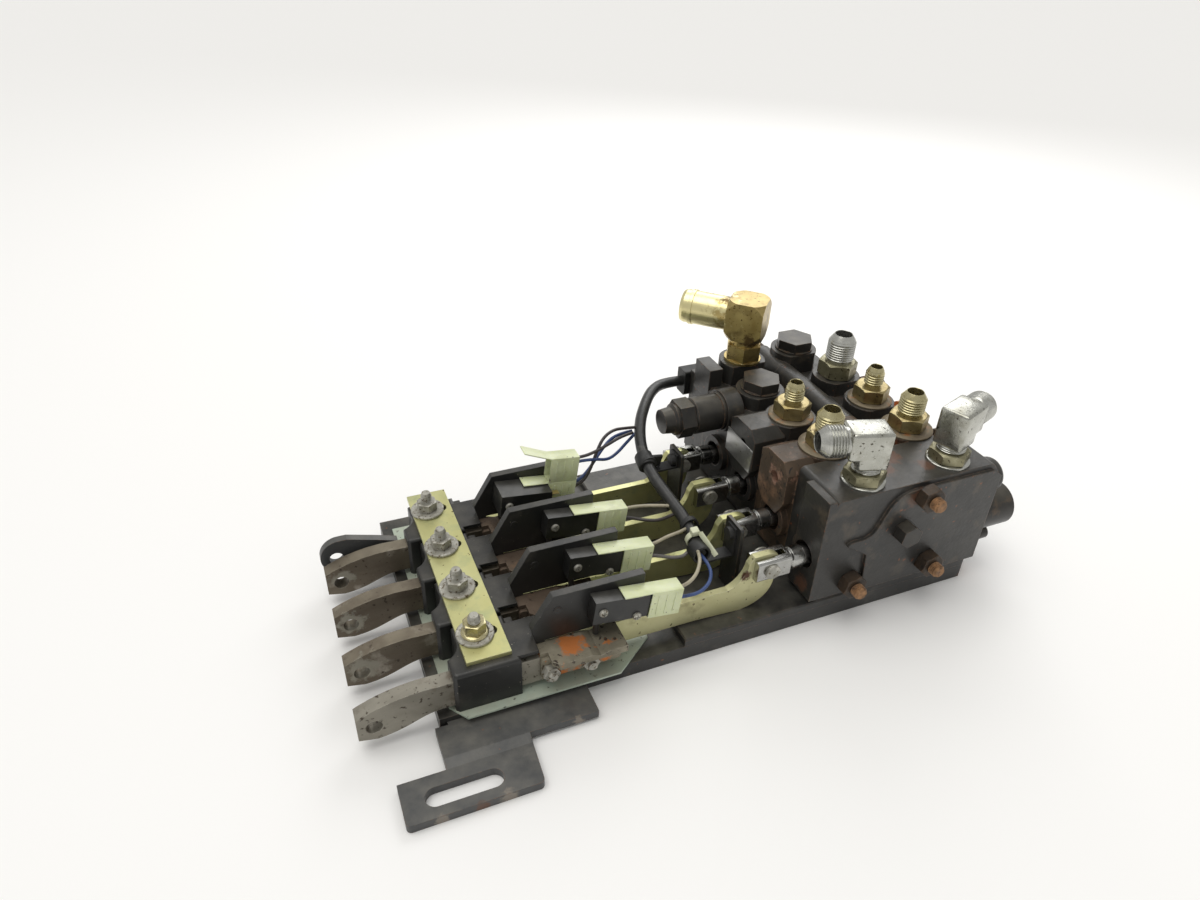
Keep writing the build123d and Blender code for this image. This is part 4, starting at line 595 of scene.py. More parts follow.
def paint(obj, material):
    """Gives a piece one material in every slot."""
    if not obj.material_slots:
        obj.data.materials.append(material)
    for slot in obj.material_slots:
        slot.material = material


for name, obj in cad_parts.items():
    stem = name[:-2] if name[-2:-1] == "_" and name[-1].isdigit() else name
    paint(obj, SPECIAL.get(name, DRESS[stem]))
print("dressed", len(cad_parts))

# %% [markdown]
# ## Helpers for turned, threaded and hexagonal pieces
# Fittings, studs and screws come off a lathe. Cylinders could be stacked on each other, but walls would
# be left inside them. Here a single point is extruded along half an outline and spun round, which gives
# the outer skin alone, and the seam is merged. The corners of a hexagon are chamfered by a turned barrel
# that is intersected with it, which is how the chamfer on a real nut is cut.

# %% Selecting, placing and cutting
def hold(obj):
    """Deselects everything, then selects obj alone, for the operators that follow."""
    bpy.ops.object.select_all(action="DESELECT")
    obj.select_set(True)
    bpy.context.view_layer.objects.active = obj


def set_in_mesh():
    """Moves the place, turn and size of what is selected into its mesh, where a CAD node has them."""
    bpy.ops.object.transform_apply(location=True, rotation=True, scale=True)


def pick(piece, kind, chosen):
    """Leaves a piece in edit mode with those faces or edges selected for which chosen says yes."""
    bpy.ops.object.mode_set(mode="EDIT")
    bpy.ops.mesh.select_mode(type=kind)
    bpy.ops.mesh.select_all(action="DESELECT")
    bpy.ops.object.mode_set(mode="OBJECT")
    for element in piece.data.polygons if kind == "FACE" else piece.data.edges:
        element.select = chosen(element)
    bpy.ops.object.mode_set(mode="EDIT")


def cut(piece, tool, operation):
    """Applies one boolean between a piece and a tool, and removes the tool."""
    hold(piece)
    modifier = piece.modifiers.new("cut", "BOOLEAN")
    modifier.operation = operation
    modifier.solver = "EXACT"
    modifier.object = tool
    bpy.ops.object.modifier_apply(modifier=modifier.name)
    bpy.data.objects.remove(tool)


def join(main, others):
    """Joins other pieces into main, as one mesh."""
    hold(main)
    for other in others:
        other.select_set(True)
    bpy.ops.object.join()
    return main


def settle(piece, place, along=Vector((0, 0, 1)), turn=0.0):
    """Turns a piece about its own Z, points it along a direction and sets its foot at place."""
    hold(piece)
    facing = Vector((0, 0, 1)).rotation_difference(along)
    piece.rotation_mode = "QUATERNION"
    piece.rotation_quaternion = facing @ Matrix.Rotation(turn, 3, "Z").to_quaternion()
    piece.location = place
    set_in_mesh()
    return piece


def twin(piece, name):
    """A copy of a piece with its own mesh."""
    copy = piece.copy()
    copy.data = piece.data.copy()
    copy.name = name
    scene.collection.objects.link(copy)
    return copy


def finish(piece, material, nodes=()):
    """Dresses a new piece, sets it on the base and lets it stand for its CAD nodes."""
    paint(piece, material)
    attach(piece, "base")
    if nodes:
        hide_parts(*nodes)


print("placing helpers ready")

# %% Lathe, hexagon, thread and block
FINE = 48  # steps of a spin, for pieces seen close up
COARSE = 24  # steps for small pieces
SEAM = 0.001  # millimetres within which two points of a seam are one
TURNED_SMOOTH = radians(35)  # faces that meet at less than this are shaded as one round face
FLAT_SMOOTH = radians(20)
BLOCK_SMOOTH = radians(40)
FACING = 0.9  # part of a normal along an axis from which a face counts as facing that way
CHAMFER_FOOT = 0.95  # radius at which a nut's chamfer starts, as a share of half the width across flats
CHAMFER_FALL = 0.55  # fall of that chamfer for each unit outwards
SKIN = 0.001  # keeps a cutting face just clear of the face it lies on
RIDGE_DEPTH = 0.5  # depth of a thread, as a share of its pitch
CREST = (0.42, 0.58)  # stretch of the pitch that a ridge's flat crest takes


def turned(name, profile, steps=32):
    """A piece turned about Z from (radius, height) points in millimetres.

    The outline has both its ends on the axis, or is a closed loop away from it.
    """
    bpy.ops.object.select_all(action="DESELECT")
    bpy.ops.mesh.primitive_plane_add(size=MM, location=(0, 0, 0))
    piece = bpy.context.object
    piece.name = name
    bpy.ops.object.mode_set(mode="EDIT")
    bpy.ops.mesh.select_mode(type="VERT")
    bpy.ops.mesh.select_all(action="SELECT")
    bpy.ops.mesh.merge(type="CENTER")
    radius, height = profile[0]
    bpy.ops.transform.translate(value=(radius * MM, 0, height * MM))
    for next_radius, next_height in profile[1:]:
        step = ((next_radius - radius) * MM, 0, (next_height - height) * MM)
        bpy.ops.mesh.extrude_region_move(TRANSFORM_OT_translate={"value": step})
        radius, height = next_radius, next_height
    bpy.ops.mesh.select_all(action="SELECT")
    bpy.ops.mesh.spin(steps=steps, angle=2 * pi, center=(0, 0, 0), axis=(0, 0, 1))
    bpy.ops.mesh.select_all(action="SELECT")
    bpy.ops.mesh.remove_doubles(threshold=SEAM * MM)
    bpy.ops.mesh.normals_make_consistent(inside=False)
    bpy.ops.object.mode_set(mode="OBJECT")
    bpy.ops.object.shade_smooth_by_angle(angle=TURNED_SMOOTH)
    return piece


def hexagonal(name, across, foot, top, turn=0.0):
    """A hexagonal piece with chamfered corners, across its flats, from foot to top, in millimetres."""
    corner = across / sqrt(3)
    flat = across / 2 * CHAMFER_FOOT
    fall = (corner - flat) * CHAMFER_FALL
    clear = corner + 0.5
    middle = (foot + top) / 2
    bpy.ops.object.select_all(action="DESELECT")
    bpy.ops.mesh.primitive_cylinder_add(
        vertices=6,
        radius=corner * MM,
        depth=(top - foot) * MM,
        location=(0, 0, middle * MM),
        rotation=(0, 0, turn),
    )
    piece = bpy.context.object
    piece.name = name
    set_in_mesh()
    outline = (
        (0, foot - 1), (flat, foot - SKIN), (clear, foot + fall),
        (clear, top - fall), (flat, top + SKIN), (0, top + SKIN),
    )
    cut(piece, turned("barrel", outline, steps=FINE), "INTERSECT")
    hold(piece)
    bpy.ops.object.shade_smooth_by_angle(angle=FLAT_SMOOTH)
    return piece


def thread(radius, foot, tip, pitch):
    """The (radius, height) points of a thread's ridges from foot to tip."""
    root = radius - RIDGE_DEPTH * pitch
    points = []
    for ridge in range(int((tip - foot) / pitch)):
        low = foot + ridge * pitch
        points += [(root, low), (radius, low + CREST[0] * pitch), (radius, low + CREST[1] * pitch)]
    return (*points, (root, tip))


def box(name, size, centre):
    """A box with sharp edges: size and centre in millimetres."""
    bpy.ops.object.select_all(action="DESELECT")
    bpy.ops.mesh.primitive_cube_add(size=1, location=tuple(value * MM for value in centre))
    piece = bpy.context.object
    piece.name = name
    piece.scale = tuple(value * MM for value in size)
    set_in_mesh()
    return piece


def block(name, size, centre, bevel, segments=2):
    """A box with rounded edges, for small pieces that are joined to others or stand alone."""
    piece = box(name, size, centre)
    bpy.ops.object.mode_set(mode="EDIT")
    bpy.ops.mesh.select_all(action="SELECT")
    bpy.ops.mesh.bevel(offset=bevel * MM, segments=segments, affect="EDGES")
    bpy.ops.object.mode_set(mode="OBJECT")
    bpy.ops.object.shade_smooth_by_angle(angle=BLOCK_SMOOTH)
    return piece


print("shaping helpers ready")

# %% [markdown]
# ## Straight fittings
# Each port holds a hexagon, mostly on a seal washer, with a threaded nose that ends in a short cone, the
# seat of a flared hose. The nose is hollow. Its ridges could be a helix, made by a screw operator, but
# that starts and ends in an open edge. Rings look the same from any side and keep the mesh closed.

# %% Straight fittings
PORT_Z = 107.0
PORT_LEFT = 268
PORT_RIGHT = 340
HEX_H = 13.0
WASHER_T = 2.0
SEAT_TAPER = 0.2  # length of the flare seat, as a share of the thread
NOSE_SUNK = 1.5  # how far a nose runs down into its hexagon
NOSE_NECK = 1.3  # depth of the groove below the thread
NOSE_NECK_TOP = 1.4
NOSE_THREAD = 1.8  # height above the hexagon at which the thread starts
NOSE_RUN_OUT = 0.2  # from the last ridge to the seat
NOSE_PITCH = 2.0
NOSE_BORE = 0.3  # radius of the bore, as a share of the thread's diameter
LARGE_NOSE = (25.0, 19.05, 31.0, 38.0)  # across flats, thread, height, washer's diameter
SMALL_NOSE = (24.0, 14.3, 29.0, 34.0)
WIDE_NOSE = (27.0, 22.2, 36.0, 0.0)  # this one has no washer
FITTINGS = (
    ("b_left", PORT_LEFT, "2", LARGE_NOSE, gold_zinc, gold_thread),
    ("b_right", PORT_RIGHT, "2", LARGE_NOSE, gold_zinc, gold_thread),
    ("c_left", PORT_LEFT, "3", SMALL_NOSE, gold_zinc, gold_thread),
    ("c_right", PORT_RIGHT, "3", SMALL_NOSE, gold_zinc, gold_thread),
    ("d_right", PORT_RIGHT, "4", WIDE_NOSE, olive_zinc, silver_thread),
)


def nose(name, size, foot, tip):
    """A threaded hollow nose with its cone, from foot to tip."""
    radius = size / 2
    neck = radius - NOSE_NECK
    bore = size * NOSE_BORE
    lip = bore + 0.5
    seat_foot = tip - size * SEAT_TAPER
    outline = (
        (0, foot - NOSE_SUNK), (neck, foot - NOSE_SUNK), (neck, foot + NOSE_NECK_TOP),
        *thread(radius, foot + NOSE_THREAD, seat_foot - NOSE_RUN_OUT, NOSE_PITCH),
        (radius - 0.9, seat_foot), (lip, tip - 0.2), (lip - 0.2, tip),
        (bore, tip - 0.3), (bore, foot + 0.6), (0, foot + 0.6),
    )
    return turned(name, outline, steps=FINE)


for label, x, station, (across, size, height, washer), hex_finish, nose_finish in FITTINGS:
    seat = at(x, SPOOL_Y[station], PORT_Z)
    foot = WASHER_T if washer else 0.0
    body = settle(hexagonal(f"fitting_hex_{label}", across, foot, HEX_H), seat)
    finish(body, hex_finish, nodes=("port_fittings",))
    tip = settle(nose(f"fitting_nose_{label}", size, HEX_H, height), seat)
    finish(tip, nose_finish, nodes=("port_fittings",))
    if washer:
        rim = washer / 2
        outline = (
            (0, 0), (rim - 0.3, 0), (rim, 0.4), (rim, 1.3),
            (rim - 0.5, 1.7), (across / 2 + 1.5, WASHER_T), (0, WASHER_T),
        )
        ring = turned(f"fitting_washer_{label}", outline)
        finish(settle(ring, seat), washer_rust, nodes=("port_fittings",))
print("straight fittings", len(FITTINGS))

# %% [markdown]
# ## Elbow fittings
# An elbow is forged: a square arm stands on its lock nut and turns into a leg with rounded edges, and
# the thread is turned on the leg afterwards. Two boxes could be joined, but a seam would show at their
# corner. Here one box is cut across by a bisect, the upper part of one side is extruded into the leg, and
# a bevel rounds the whole forging.

# %% Elbow fittings
ELBOW_RISE = 32.0
ELBOW_HALF = 10.5
ELBOW_ARM = 18.0
ELBOW_LEG = 37.0
ELBOW_THREAD = 22.2
ELBOW_EDGE = 2.2
ELBOW_SMOOTH = radians(50)
LOCK_NUT = (25.0, 2.0, 10.0)  # across flats, foot, top
NECK_FOOT = ((0, 0), (15, 0), (15, 1.6), (14.4, 2), (9, 2))  # a washer, and the stem that stands in it
NECK_THREAD = (10, 10, 14.4, 1.4)  # radius, foot, tip and pitch
ELBOWS = (("left", PORT_LEFT, -17.0), ("right", PORT_RIGHT, 200.0))  # name, place, turn in degrees


def forging(name):
    """The elbow's square arm and leg, its foot at z 0, its leg along X."""
    low = ELBOW_RISE - ELBOW_ARM
    high = ELBOW_RISE + ELBOW_HALF
    leg_foot = (ELBOW_RISE - ELBOW_HALF) * MM
    leg_step = ((ELBOW_ARM - ELBOW_HALF) * MM, 0, 0)
    piece = box(name, (2 * ELBOW_HALF, 2 * ELBOW_HALF, high - low), (0, 0, (low + high) / 2))
    bpy.ops.object.mode_set(mode="EDIT")
    bpy.ops.mesh.select_all(action="SELECT")
    bpy.ops.mesh.bisect(plane_co=(0, 0, leg_foot), plane_no=(0, 0, 1))
    pick(piece, "FACE", lambda face: face.normal.x > FACING and face.center.z > leg_foot)
    bpy.ops.mesh.extrude_region_move(TRANSFORM_OT_translate={"value": leg_step})
    bpy.ops.object.mode_set(mode="OBJECT")
    corner = piece.modifiers.new("edges", "BEVEL")
    corner.width = ELBOW_EDGE * MM
    corner.segments = 3
    corner.limit_method = "ANGLE"
    bpy.ops.object.modifier_apply(modifier=corner.name)
    bpy.ops.object.shade_smooth_by_angle(angle=ELBOW_SMOOTH)
    return piece


for label, x, turn in ELBOWS:
    seat = at(x, SPOOL_Y["1"], PORT_Z)
    away = radians(turn) + pi
    leg = Vector((cos(away), sin(away), 0))
    arm = settle(forging(f"elbow_body_{label}"), seat, turn=away)
    finish(arm, silver_zinc, nodes=("elbow_fittings",))
    lock_nut = settle(hexagonal(f"elbow_nut_{label}", *LOCK_NUT), seat)
    finish(lock_nut, olive_zinc, nodes=("elbow_fittings",))
    neck = turned(f"elbow_neck_{label}", (*NECK_FOOT, *thread(*NECK_THREAD), (0, NECK_THREAD[2])))
    finish(settle(neck, seat), silver_thread, nodes=("elbow_fittings",))
    corner = seat + Vector((0, 0, ELBOW_RISE * MM))
    tip = settle(nose(f"elbow_nose_{label}", ELBOW_THREAD, ELBOW_ARM, ELBOW_LEG), corner, leg)
    finish(tip, silver_thread, nodes=("elbow_fittings",))
print("elbows", len(ELBOWS))

# %% [markdown]
# ## Clamp studs, washers and nuts
# Four studs hold the strip down. They could be made in the loop over the stations, but each hexagon
# takes a boolean, so one stud, one washer and one nut are modelled and copied to each station. The first
# nut is a taller one with a flange and a gold coat, as its neighbours have lost theirs.

# %% Clamp studs, washers and nuts
STRIP_TOP = 47.5
STUD_FOOT = 8.0
STUD_PLAIN = 44  # height at which the stud's thread starts
STUD_TIP = 64.0
STUD_R = 4.0
STUD_PITCH = 1.25
STUD_RUN_OUT = 1.2  # from the last ridge to the tip
STUD_TURN = 25  # degrees of turn for each millimetre of place, so that no two stand alike
HEAD_H = 5.3
OVERLAP = 0.01  # how far the head runs into its stud
STUD_U = 12.0  # from a spool's line to its stud's
NUT_ACROSS = 13.0
NUT_H = 6.8
TALL_NUT = (13.0, 1.5, 9.5)  # across flats, foot above its flange's, top
WASHER_OUTLINE = ((0, 0), (11.7, 0), (12, 0.3), (12, 1.5), (11.5, 2), (7.2, 2), (0, 2))
FLANGE_OUTLINE = ((0, 0), (8.6, 0), (8.8, 0.6), (8.3, 1.3), (6.4, 2.0), (0, 2.0))
stud_outline = (
    (0, STUD_FOOT), (STUD_R, STUD_FOOT), (STUD_R, STUD_PLAIN),
    *thread(STUD_R, STUD_PLAIN + 0.5, STUD_TIP - STUD_RUN_OUT, STUD_PITCH),
    (2.9, STUD_TIP), (0, STUD_TIP),
)
stud = turned("clamp_stud", stud_outline, steps=COARSE)
join(stud, [hexagonal("stud_head", NUT_ACROSS, STUD_FOOT - HEAD_H, STUD_FOOT + OVERLAP)])
washer = turned("clamp_washer", WASHER_OUTLINE, steps=40)
low_nut = hexagonal("clamp_nut", NUT_ACROSS, 0, NUT_H)
tall_nut = join(hexagonal("clamp_nut_1", *TALL_NUT), [turned("flange", FLANGE_OUTLINE)])
for number, y in SPOOL_Y.items():
    line = y + STUD_U
    first = number == "1"
    shank = settle(twin(stud, f"clamp_stud_{number}"), at(0, line, 0), turn=radians(STUD_TURN * line))
    finish(shank, grey_zinc, nodes=("clamp_bolts",))
    ring = settle(twin(washer, f"clamp_washer_{number}"), at(0, line, STRIP_TOP))
    finish(ring, grey_zinc, nodes=("clamp_nuts",))
    nut = twin(tall_nut if first else low_nut, f"clamp_hexagon_{number}")
    settle(nut, at(0, line, STRIP_TOP + WASHER_T))
    finish(nut, gold_thread if first else grey_zinc, nodes=("clamp_nuts",))
for pattern in (stud, washer, low_nut, tall_nut):
    bpy.data.objects.remove(pattern)
print("clamped stations", len(SPOOL_Y))

# %% [markdown]
# ## Tie rods
# Three rods run through the whole stack and hold it together between nuts. Their threaded ends stick
# out and have rusted brightest of all. Most of a rod is out of sight inside the sections, and its ends
# alone could be modelled, but a whole rod costs a few faces more and has no loose ends.

# %% Tie rods
TIE_RODS = ((262, 32, -82.0), (327, 34, -84.5), (309, 97, -84.5))  # x, z and near face of each
TIE_FAR = 130.0
TIE_R = 5.0
TIE_SHANK = 4.9
TIE_TIP = 3.9
TIE_PITCH = 1.5
TIE_ACROSS = 17.0
TIE_NUT = 9.0
TIE_NUT_TURN = radians(15)
TIE_OVER = 7.0  # how far a rod stands out of its nut
for index, (x, z, near) in enumerate(TIE_RODS, start=1):
    span = TIE_FAR - near
    reach = TIE_NUT + TIE_OVER
    outline = (
        (0, -reach), (TIE_TIP, -reach), *thread(TIE_R, -reach + 1, 0, TIE_PITCH),
        (TIE_SHANK, 0), (TIE_SHANK, span),
        *thread(TIE_R, span, span + reach - 1, TIE_PITCH), (TIE_TIP, span + reach), (0, span + reach),
    )
    rod = settle(turned(f"tie_rod_{index}", outline, steps=COARSE), at(x, near, z), Vector((0, 1, 0)))
    finish(rod, rusty_thread, nodes=("tie_rods",))
    for side, start in (("near", -TIE_NUT), ("far", span)):
        nut = hexagonal(f"tie_nut_{index}_{side}", TIE_ACROSS, start, start + TIE_NUT, TIE_NUT_TURN)
        finish(settle(nut, at(x, near, z), Vector((0, 1, 0))), rusty_nut, nodes=("tie_rods",))
print("tie rods", len(TIE_RODS))

# %% [markdown]
# ## Switch planes and screws
# Each switch hangs at a slight tilt on two pan-head screws with crossed slots. Every screw could be given
# a turn and a place of its own, but one function that sets a piece in its switch's plane keeps screws
# and covers square to the switch. It also follows the fourth station, whose two switches are stacked.

# %% Switch planes
SWITCH_TILT = radians(7.0)
SWITCH_X = 87.5
SWITCH_Z = 62.0
SWITCH_HALF = 19.0
SWITCH_T = 10.3
LAST_SHIFT = -22.5  # the fourth station's switches stand further left
BOARD_NEAR = -4.0  # near face of a station's board, from its spool's line


def on_switch(piece, number, near, place):
    """Sets a piece, modelled in the tilted plane of a station's switch, at near and place in it."""
    right = Vector((cos(SWITCH_TILT), 0, -sin(SWITCH_TILT)))
    up = Vector((sin(SWITCH_TILT), 0, cos(SWITCH_TILT)))
    out = Vector((0, -1, 0))
    shift = LAST_SHIFT if number == "4" else 0.0
    centre = at(SWITCH_X + shift, SPOOL_Y[number] + near, SWITCH_Z)
    along, across = place
    turn = Matrix((right, up, out)).transposed().to_4x4()
    hold(piece)
    piece.matrix_world = Matrix.Translation(centre + (right * along + up * across) * MM) @ turn
    set_in_mesh()
    return piece


print("switch planes tilt", round(SWITCH_TILT, 3))

# %% Switch screws
SCREWS = ((-13.0, 0.5), (11.0, -7.0))  # along and across, from the switch's middle
PAN_OUTLINE = ((0, -3), (1.5, -3), (1.5, 0), (2.9, 0), (3.0, 0.5), (2.6, 1.4), (1.6, 1.9), (0, 2.0))
SCREW_SLOT = ((3.4, 0.7, 1.6), (0, 0, 1.9), 0.1)  # size, centre and edge
screw = turned("pan_screw", PAN_OUTLINE, steps=COARSE)
for turn in (0.0, pi / 2):
    slot_tool = block("slot_tool", *SCREW_SLOT, segments=1)
    cut(screw, settle(slot_tool, Vector((0, 0, 0)), turn=turn), "DIFFERENCE")
hold(screw)
bpy.ops.object.shade_smooth_by_angle(angle=TURNED_SMOOTH)
for number in SPOOL_Y:
    stack = 2 * SWITCH_T if number == "4" else SWITCH_T
    for index, place in enumerate(SCREWS, start=1):
        head = twin(screw, f"switch_screw_{number}_{index}")
        on_switch(head, number, BOARD_NEAR - stack, place)
        finish(head, grey_zinc, nodes=("switch_screws",))
bpy.data.objects.remove(screw)
print("switch screws", len(SCREWS) * len(SPOOL_Y))

# %% [markdown]
# ## Terminal covers
# A soft cover slips over the terminals of each switch: a thin sleeve, open at both ends, with a flap that
# lies along the switch and ribs for the fingers. It could be hollowed with a boolean, but its wall would
# then be two boxes that have to agree. Here both ends of one box are deleted, the upper edge is extruded
# into the flap, and Solidify gives an even wall.

# %% Terminal covers
COVER_L = 22.0
COVER_H = 20.5
COVER_DEEP = 11.3
COVER_WALL = 0.9
COVER_EDGE = 0.25
FLAP_STEPS = 2
RIB_PLACES = (24.0, 30.0, 36.0)
RIB_WIDE = 0.9
RIB_DEEP = 0.7
RIB_LIFT = 0.2  # from the sleeve's face to the middle of a rib
RIB_EDGE = 0.2
COVER_GAP = 0.1
FLAP = (19.0, 0.0)  # reach along and across
LIFTED_FLAP = (21.0, 7.0)


def cover(name, flap):
    """A sleeve beyond the switch's right end with a flap, given as its reach along and across."""
    sleeve = box(name, (COVER_L, COVER_H, COVER_DEEP), (SWITCH_HALF + COVER_L / 2, 0, COVER_DEEP / 2))
    pick(sleeve, "FACE", lambda face: abs(face.normal.x) > FACING)
    bpy.ops.mesh.delete(type="FACE")

    def at_mouth(edge):
        """Whether an edge is the upper one of the sleeve's end at the switch."""
        ends = [sleeve.data.vertices[index].co for index in edge.vertices]
        return all(end.x < (SWITCH_HALF + 1) * MM and end.y > 0 for end in ends)

    pick(sleeve, "EDGE", at_mouth)
    along, across = flap
    step = (-along / FLAP_STEPS * MM, across / FLAP_STEPS * MM, 0)
    for _ in range(FLAP_STEPS):
        bpy.ops.mesh.extrude_region_move(TRANSFORM_OT_translate={"value": step})
    bpy.ops.mesh.select_all(action="SELECT")
    bpy.ops.mesh.normals_make_consistent(inside=False)
    bpy.ops.object.mode_set(mode="OBJECT")
    wall = sleeve.modifiers.new("wall", "SOLIDIFY")
    wall.thickness = COVER_WALL * MM
    wall.offset = -1
    bpy.ops.object.modifier_apply(modifier=wall.name)
    rounding = sleeve.modifiers.new("rounding", "BEVEL")
    rounding.width = COVER_EDGE * MM
    rounding.segments = 2
    bpy.ops.object.modifier_apply(modifier=rounding.name)
    rib = (RIB_WIDE, COVER_H - 5, RIB_DEEP)
    join(sleeve, [block("rib", rib, (x, 0, COVER_DEEP + RIB_LIFT), RIB_EDGE) for x in RIB_PLACES])
    bpy.ops.object.shade_smooth_by_angle(angle=TURNED_SMOOTH)
    return sleeve


COVERS = [(number, 0.0, FLAP) for number in SPOOL_Y]  # station, lift, flap
COVERS.append(("4", COVER_H + COVER_GAP, LIFTED_FLAP))  # this one is off its switch
for index, (number, lift, flap) in enumerate(COVERS, start=1):
    sleeve = on_switch(cover(f"terminal_cover_{index}", flap), number, BOARD_NEAR - COVER_GAP, (0, lift))
    finish(sleeve, cover_plastic, nodes=("terminal_covers",))
print("covers", len(COVERS))

# %% [markdown]
# ## Bare terminals
# The outer one of the fourth station's two switches has no cover on it, so its flat brass blades are in
# sight. They could be cut from one sheet, but three thin blocks joined as one mesh look the same.

# %% Bare terminals
BLADES = ((7.5, 22.2, 4.5), (7.5, 22.2, -2.5), (4.0, 20.5, -6.5))  # length, and place along and across
BLADE_T = 0.8
BLADE_WIDE = 4.2
BLADE_Z = 5
BLADE_EDGE = 0.2
blades = [
    block("bare_terminals", (length, BLADE_T, BLADE_WIDE), (along, across, BLADE_Z), BLADE_EDGE)
    for length, along, across in BLADES
]
tabs = join(blades[0], blades[1:])
finish(on_switch(tabs, "4", BOARD_NEAR - SWITCH_T, (0, 0)), terminal_brass)
print("blades", len(BLADES))

# %% [markdown]
# ## Harness and wires
# A taped harness runs from the connector round to the switches, and thin wires leave it in pairs. A wire
# could be simulated and left to hang, but here each route is known from the photograph. Every cord is a
# smooth NURBS curve with a round bevel, led by listed control points, the same ones that the CAD tube
# follows.

# %% Harness and wires
HARNESS_D = 9.0
WIRE_D = 2.4
HARNESS_PATH = (
    (236, 137, 82), (217, 134, 85), (200, 121, 88), (185, 102, 88), (172, 83, 84),
    (163, 60, 77), (160, 34, 71), (163, 6, 66), (165, -20, 62), (160, -46, 58),
)
WIRES = (  # name, finish, length in metres, route in millimetres
    ("1_upper", wire_beige, 0.0577,
     ((123.5, -76, 63), (133, -76, 63.5), (143, -72, 66), (151, -62, 67), (156, -51, 64), (160, -40, 60))),
    ("1_lower", wire_blue, 0.0612,
     ((123.5, -76, 56), (134, -77, 55), (146, -76, 54), (157, -69, 55), (162, -57, 57), (160, -44, 58))),
    ("2_upper", wire_beige, 0.0428,
     ((123.5, -32, 63), (133, -31.5, 64), (143, -30, 66), (153, -28, 65), (164, -22, 62))),
    ("2_lower", wire_grey, 0.0428,
     ((123.5, -32, 56), (134, -33, 54), (145, -38, 52), (155, -40, 54), (161, -34, 60))),
    ("3_upper", wire_beige, 0.0419,
     ((123.5, 12, 63), (133, 12, 63), (143, 9, 64), (153, 4, 65), (163, 0, 65))),
    ("3_lower", wire_dark, 0.0472,
     ((123.5, 12, 56), (134, 11, 54), (144, 5, 53), (154, -2, 56), (163, -6, 64))),
    ("4_first", wire_blue, 0.0716,
     ((102, 56, 80), (112, 56, 80), (124, 57, 78), (136, 61, 72), (147, 68, 71), (157, 72, 77),
      (166, 76, 81))),
    ("4_second", wire_dark, 0.0640,
     ((102, 56, 84), (113, 56, 83), (125, 58, 84), (138, 62, 86), (150, 68, 86), (162, 74, 83))),
    ("4_third", wire_blue, 0.0723,
     ((102, 56, 60), (112, 57, 62), (121, 60, 68), (130, 64, 77), (141, 70, 84), (153, 75, 84),
      (163, 78, 82))),
    ("4_fourth", wire_dark, 0.0872,
     ((102, 56, 57), (112, 55, 59), (120, 57, 68), (126, 60, 81), (133, 64, 91), (144, 70, 92), (155, 75, 88),
      (167, 79, 84))),
)


def lead(name, route, diameter):
    """A smooth round cord along a route in millimetres."""
    curve = bpy.data.curves.new(name, "CURVE")
    curve.dimensions = "3D"
    curve.bevel_depth = diameter / 2 * MM
    curve.bevel_resolution = 5
    curve.resolution_u = 14
    curve.use_fill_caps = True
    spline = curve.splines.new("NURBS")
    spline.points.add(len(route) - 1)
    for point, place in zip(spline.points, route):
        point.co = (*at(*place), 1)
    spline.order_u = 3
    spline.use_endpoint_u = True
    piece = bpy.data.objects.new(name, curve)
    scene.collection.objects.link(piece)
    return piece


harness = lead("harness_cord", HARNESS_PATH, HARNESS_D)
finish(harness, tape_black, nodes=("harness",))
for label, finish_colour, length, route in WIRES:
    wire = lead(f"wire_{label}", route, WIRE_D)
    finish(wire, finish_colour, nodes=("switch_wires",))
print("wires", len(WIRES))

# %% [markdown]
# ## Cable tie and loom clip
# A pale cable tie holds the wires of the first stations to the harness: a flat ring, a square head and a
# cut tail. A loom clip sits further up. The ring could be a curve with a flat bevel, but a turned
# rectangle is as exact, and it joins to the head as one mesh.

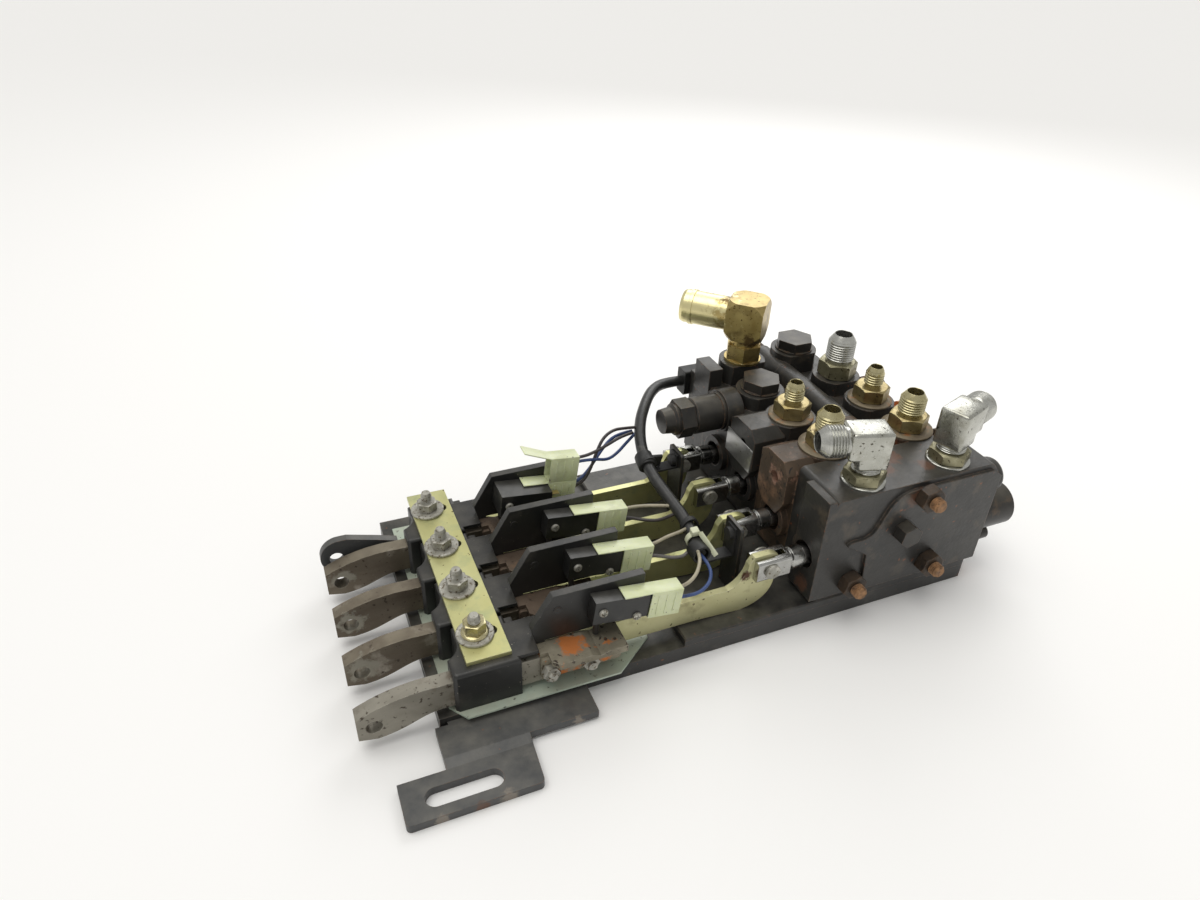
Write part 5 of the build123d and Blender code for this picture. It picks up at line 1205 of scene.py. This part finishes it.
# %% Cable tie and loom clip
TIE_AT = (162.5, -33, 60)
TIE_ALONG = Vector((-0.1, -1, -0.1)).normalized()
TIE_OUTLINE = ((6.4, -2.2), (6.4, 2.2), (5.6, 2.2), (5.6, -2.2), (6.4, -2.2))
TIE_HEAD = ((5.6, 4.6, 5.6), (0, 7.6, 0), 0.7)  # size, centre and edge
TAIL_AT = (164.0, -37, 68.5)
TAIL_ALONG = Vector((0.3, -0.75, -0.55)).normalized()
TAIL = ((1.1, 3.8, 19.0), (0, 0, 9.5), 0.35)
CLIP_AT = (161.0, 47, 74)
CLIP_ALONG = Vector((0.1, 1, 0.25)).normalized()
CLIP_OUTLINE = ((6.4, -6), (6.8, -5.4), (6.8, 5.4), (6.4, 6), (4.3, 6), (4.3, -6), (6.4, -6))
CLIP_LUG = ((9.0, 11.0, 2.4), (8.5, 0, 0), 0.6)
cable_tie = join(turned("tie_ring", TIE_OUTLINE, steps=40), [block("tie_head", *TIE_HEAD)])
cable_tie.name = "cable_tie"
finish(settle(cable_tie, at(*TIE_AT), TIE_ALONG), tie_white)
tail = block("tie_tail", *TAIL)
finish(settle(tail, at(*TAIL_AT), TAIL_ALONG), tie_white)
clip = join(turned("loom_clip", CLIP_OUTLINE, steps=COARSE), [block("loom_lug", *CLIP_LUG)])
finish(settle(clip, at(*CLIP_AT), CLIP_ALONG), seal_black)
print("tie and clip ready")

# %% [markdown]
# ## Bare plate, rivets and ring
# A thin bare plate sits on the left wall of the third section, a black rivet in each of the first three
# boards, and an orange ring round the relief cartridge. Each could be a relief in a material, but they
# stand proud of the face and catch light at their rims, so they are small meshes.

# %% Bare plate, rivets and ring
PLATE = ((0.8, 36.0, 20.0), (0, 0, 0), 0.35)  # size, centre and edge
PLATE_AT = (228.7, 26.0, 82.5)
PLATE_TILT = radians(2)
RIVET_OUTLINE = ((0, -0.4), (2.9, -0.4), (2.7, 0.4), (1.7, 0.15), (0.8, 0.3), (0, 0.3))
RIVET_X = 48.5
RIVET_Z = 66
RING_OUTLINE = (
    (12.0, -1.2), (14.2, -1.2), (15.1, -0.5), (15.1, 0.5), (14.2, 1.2), (12.0, 1.2), (12.0, -1.2),
)
RING_AT = (231.6, 68, 92)
plate = block("bare_plate", *PLATE)
hold(plate)
plate.rotation_euler = (PLATE_TILT, 0, 0)
set_in_mesh()
finish(settle(plate, at(*PLATE_AT)), bare_plate)
for number in ("1", "2", "3"):
    rivet = turned(f"board_rivet_{number}", RIVET_OUTLINE, steps=20)
    settle(rivet, at(RIVET_X, SPOOL_Y[number] + BOARD_NEAR, RIVET_Z), Vector((0, -1, 0)))
    finish(rivet, switch_black)
seal = turned("relief_ring", RING_OUTLINE, steps=FINE)
finish(settle(seal, at(*RING_AT), Vector((1, 0, 0))), ring_orange)
print("plate, rivets and ring ready")
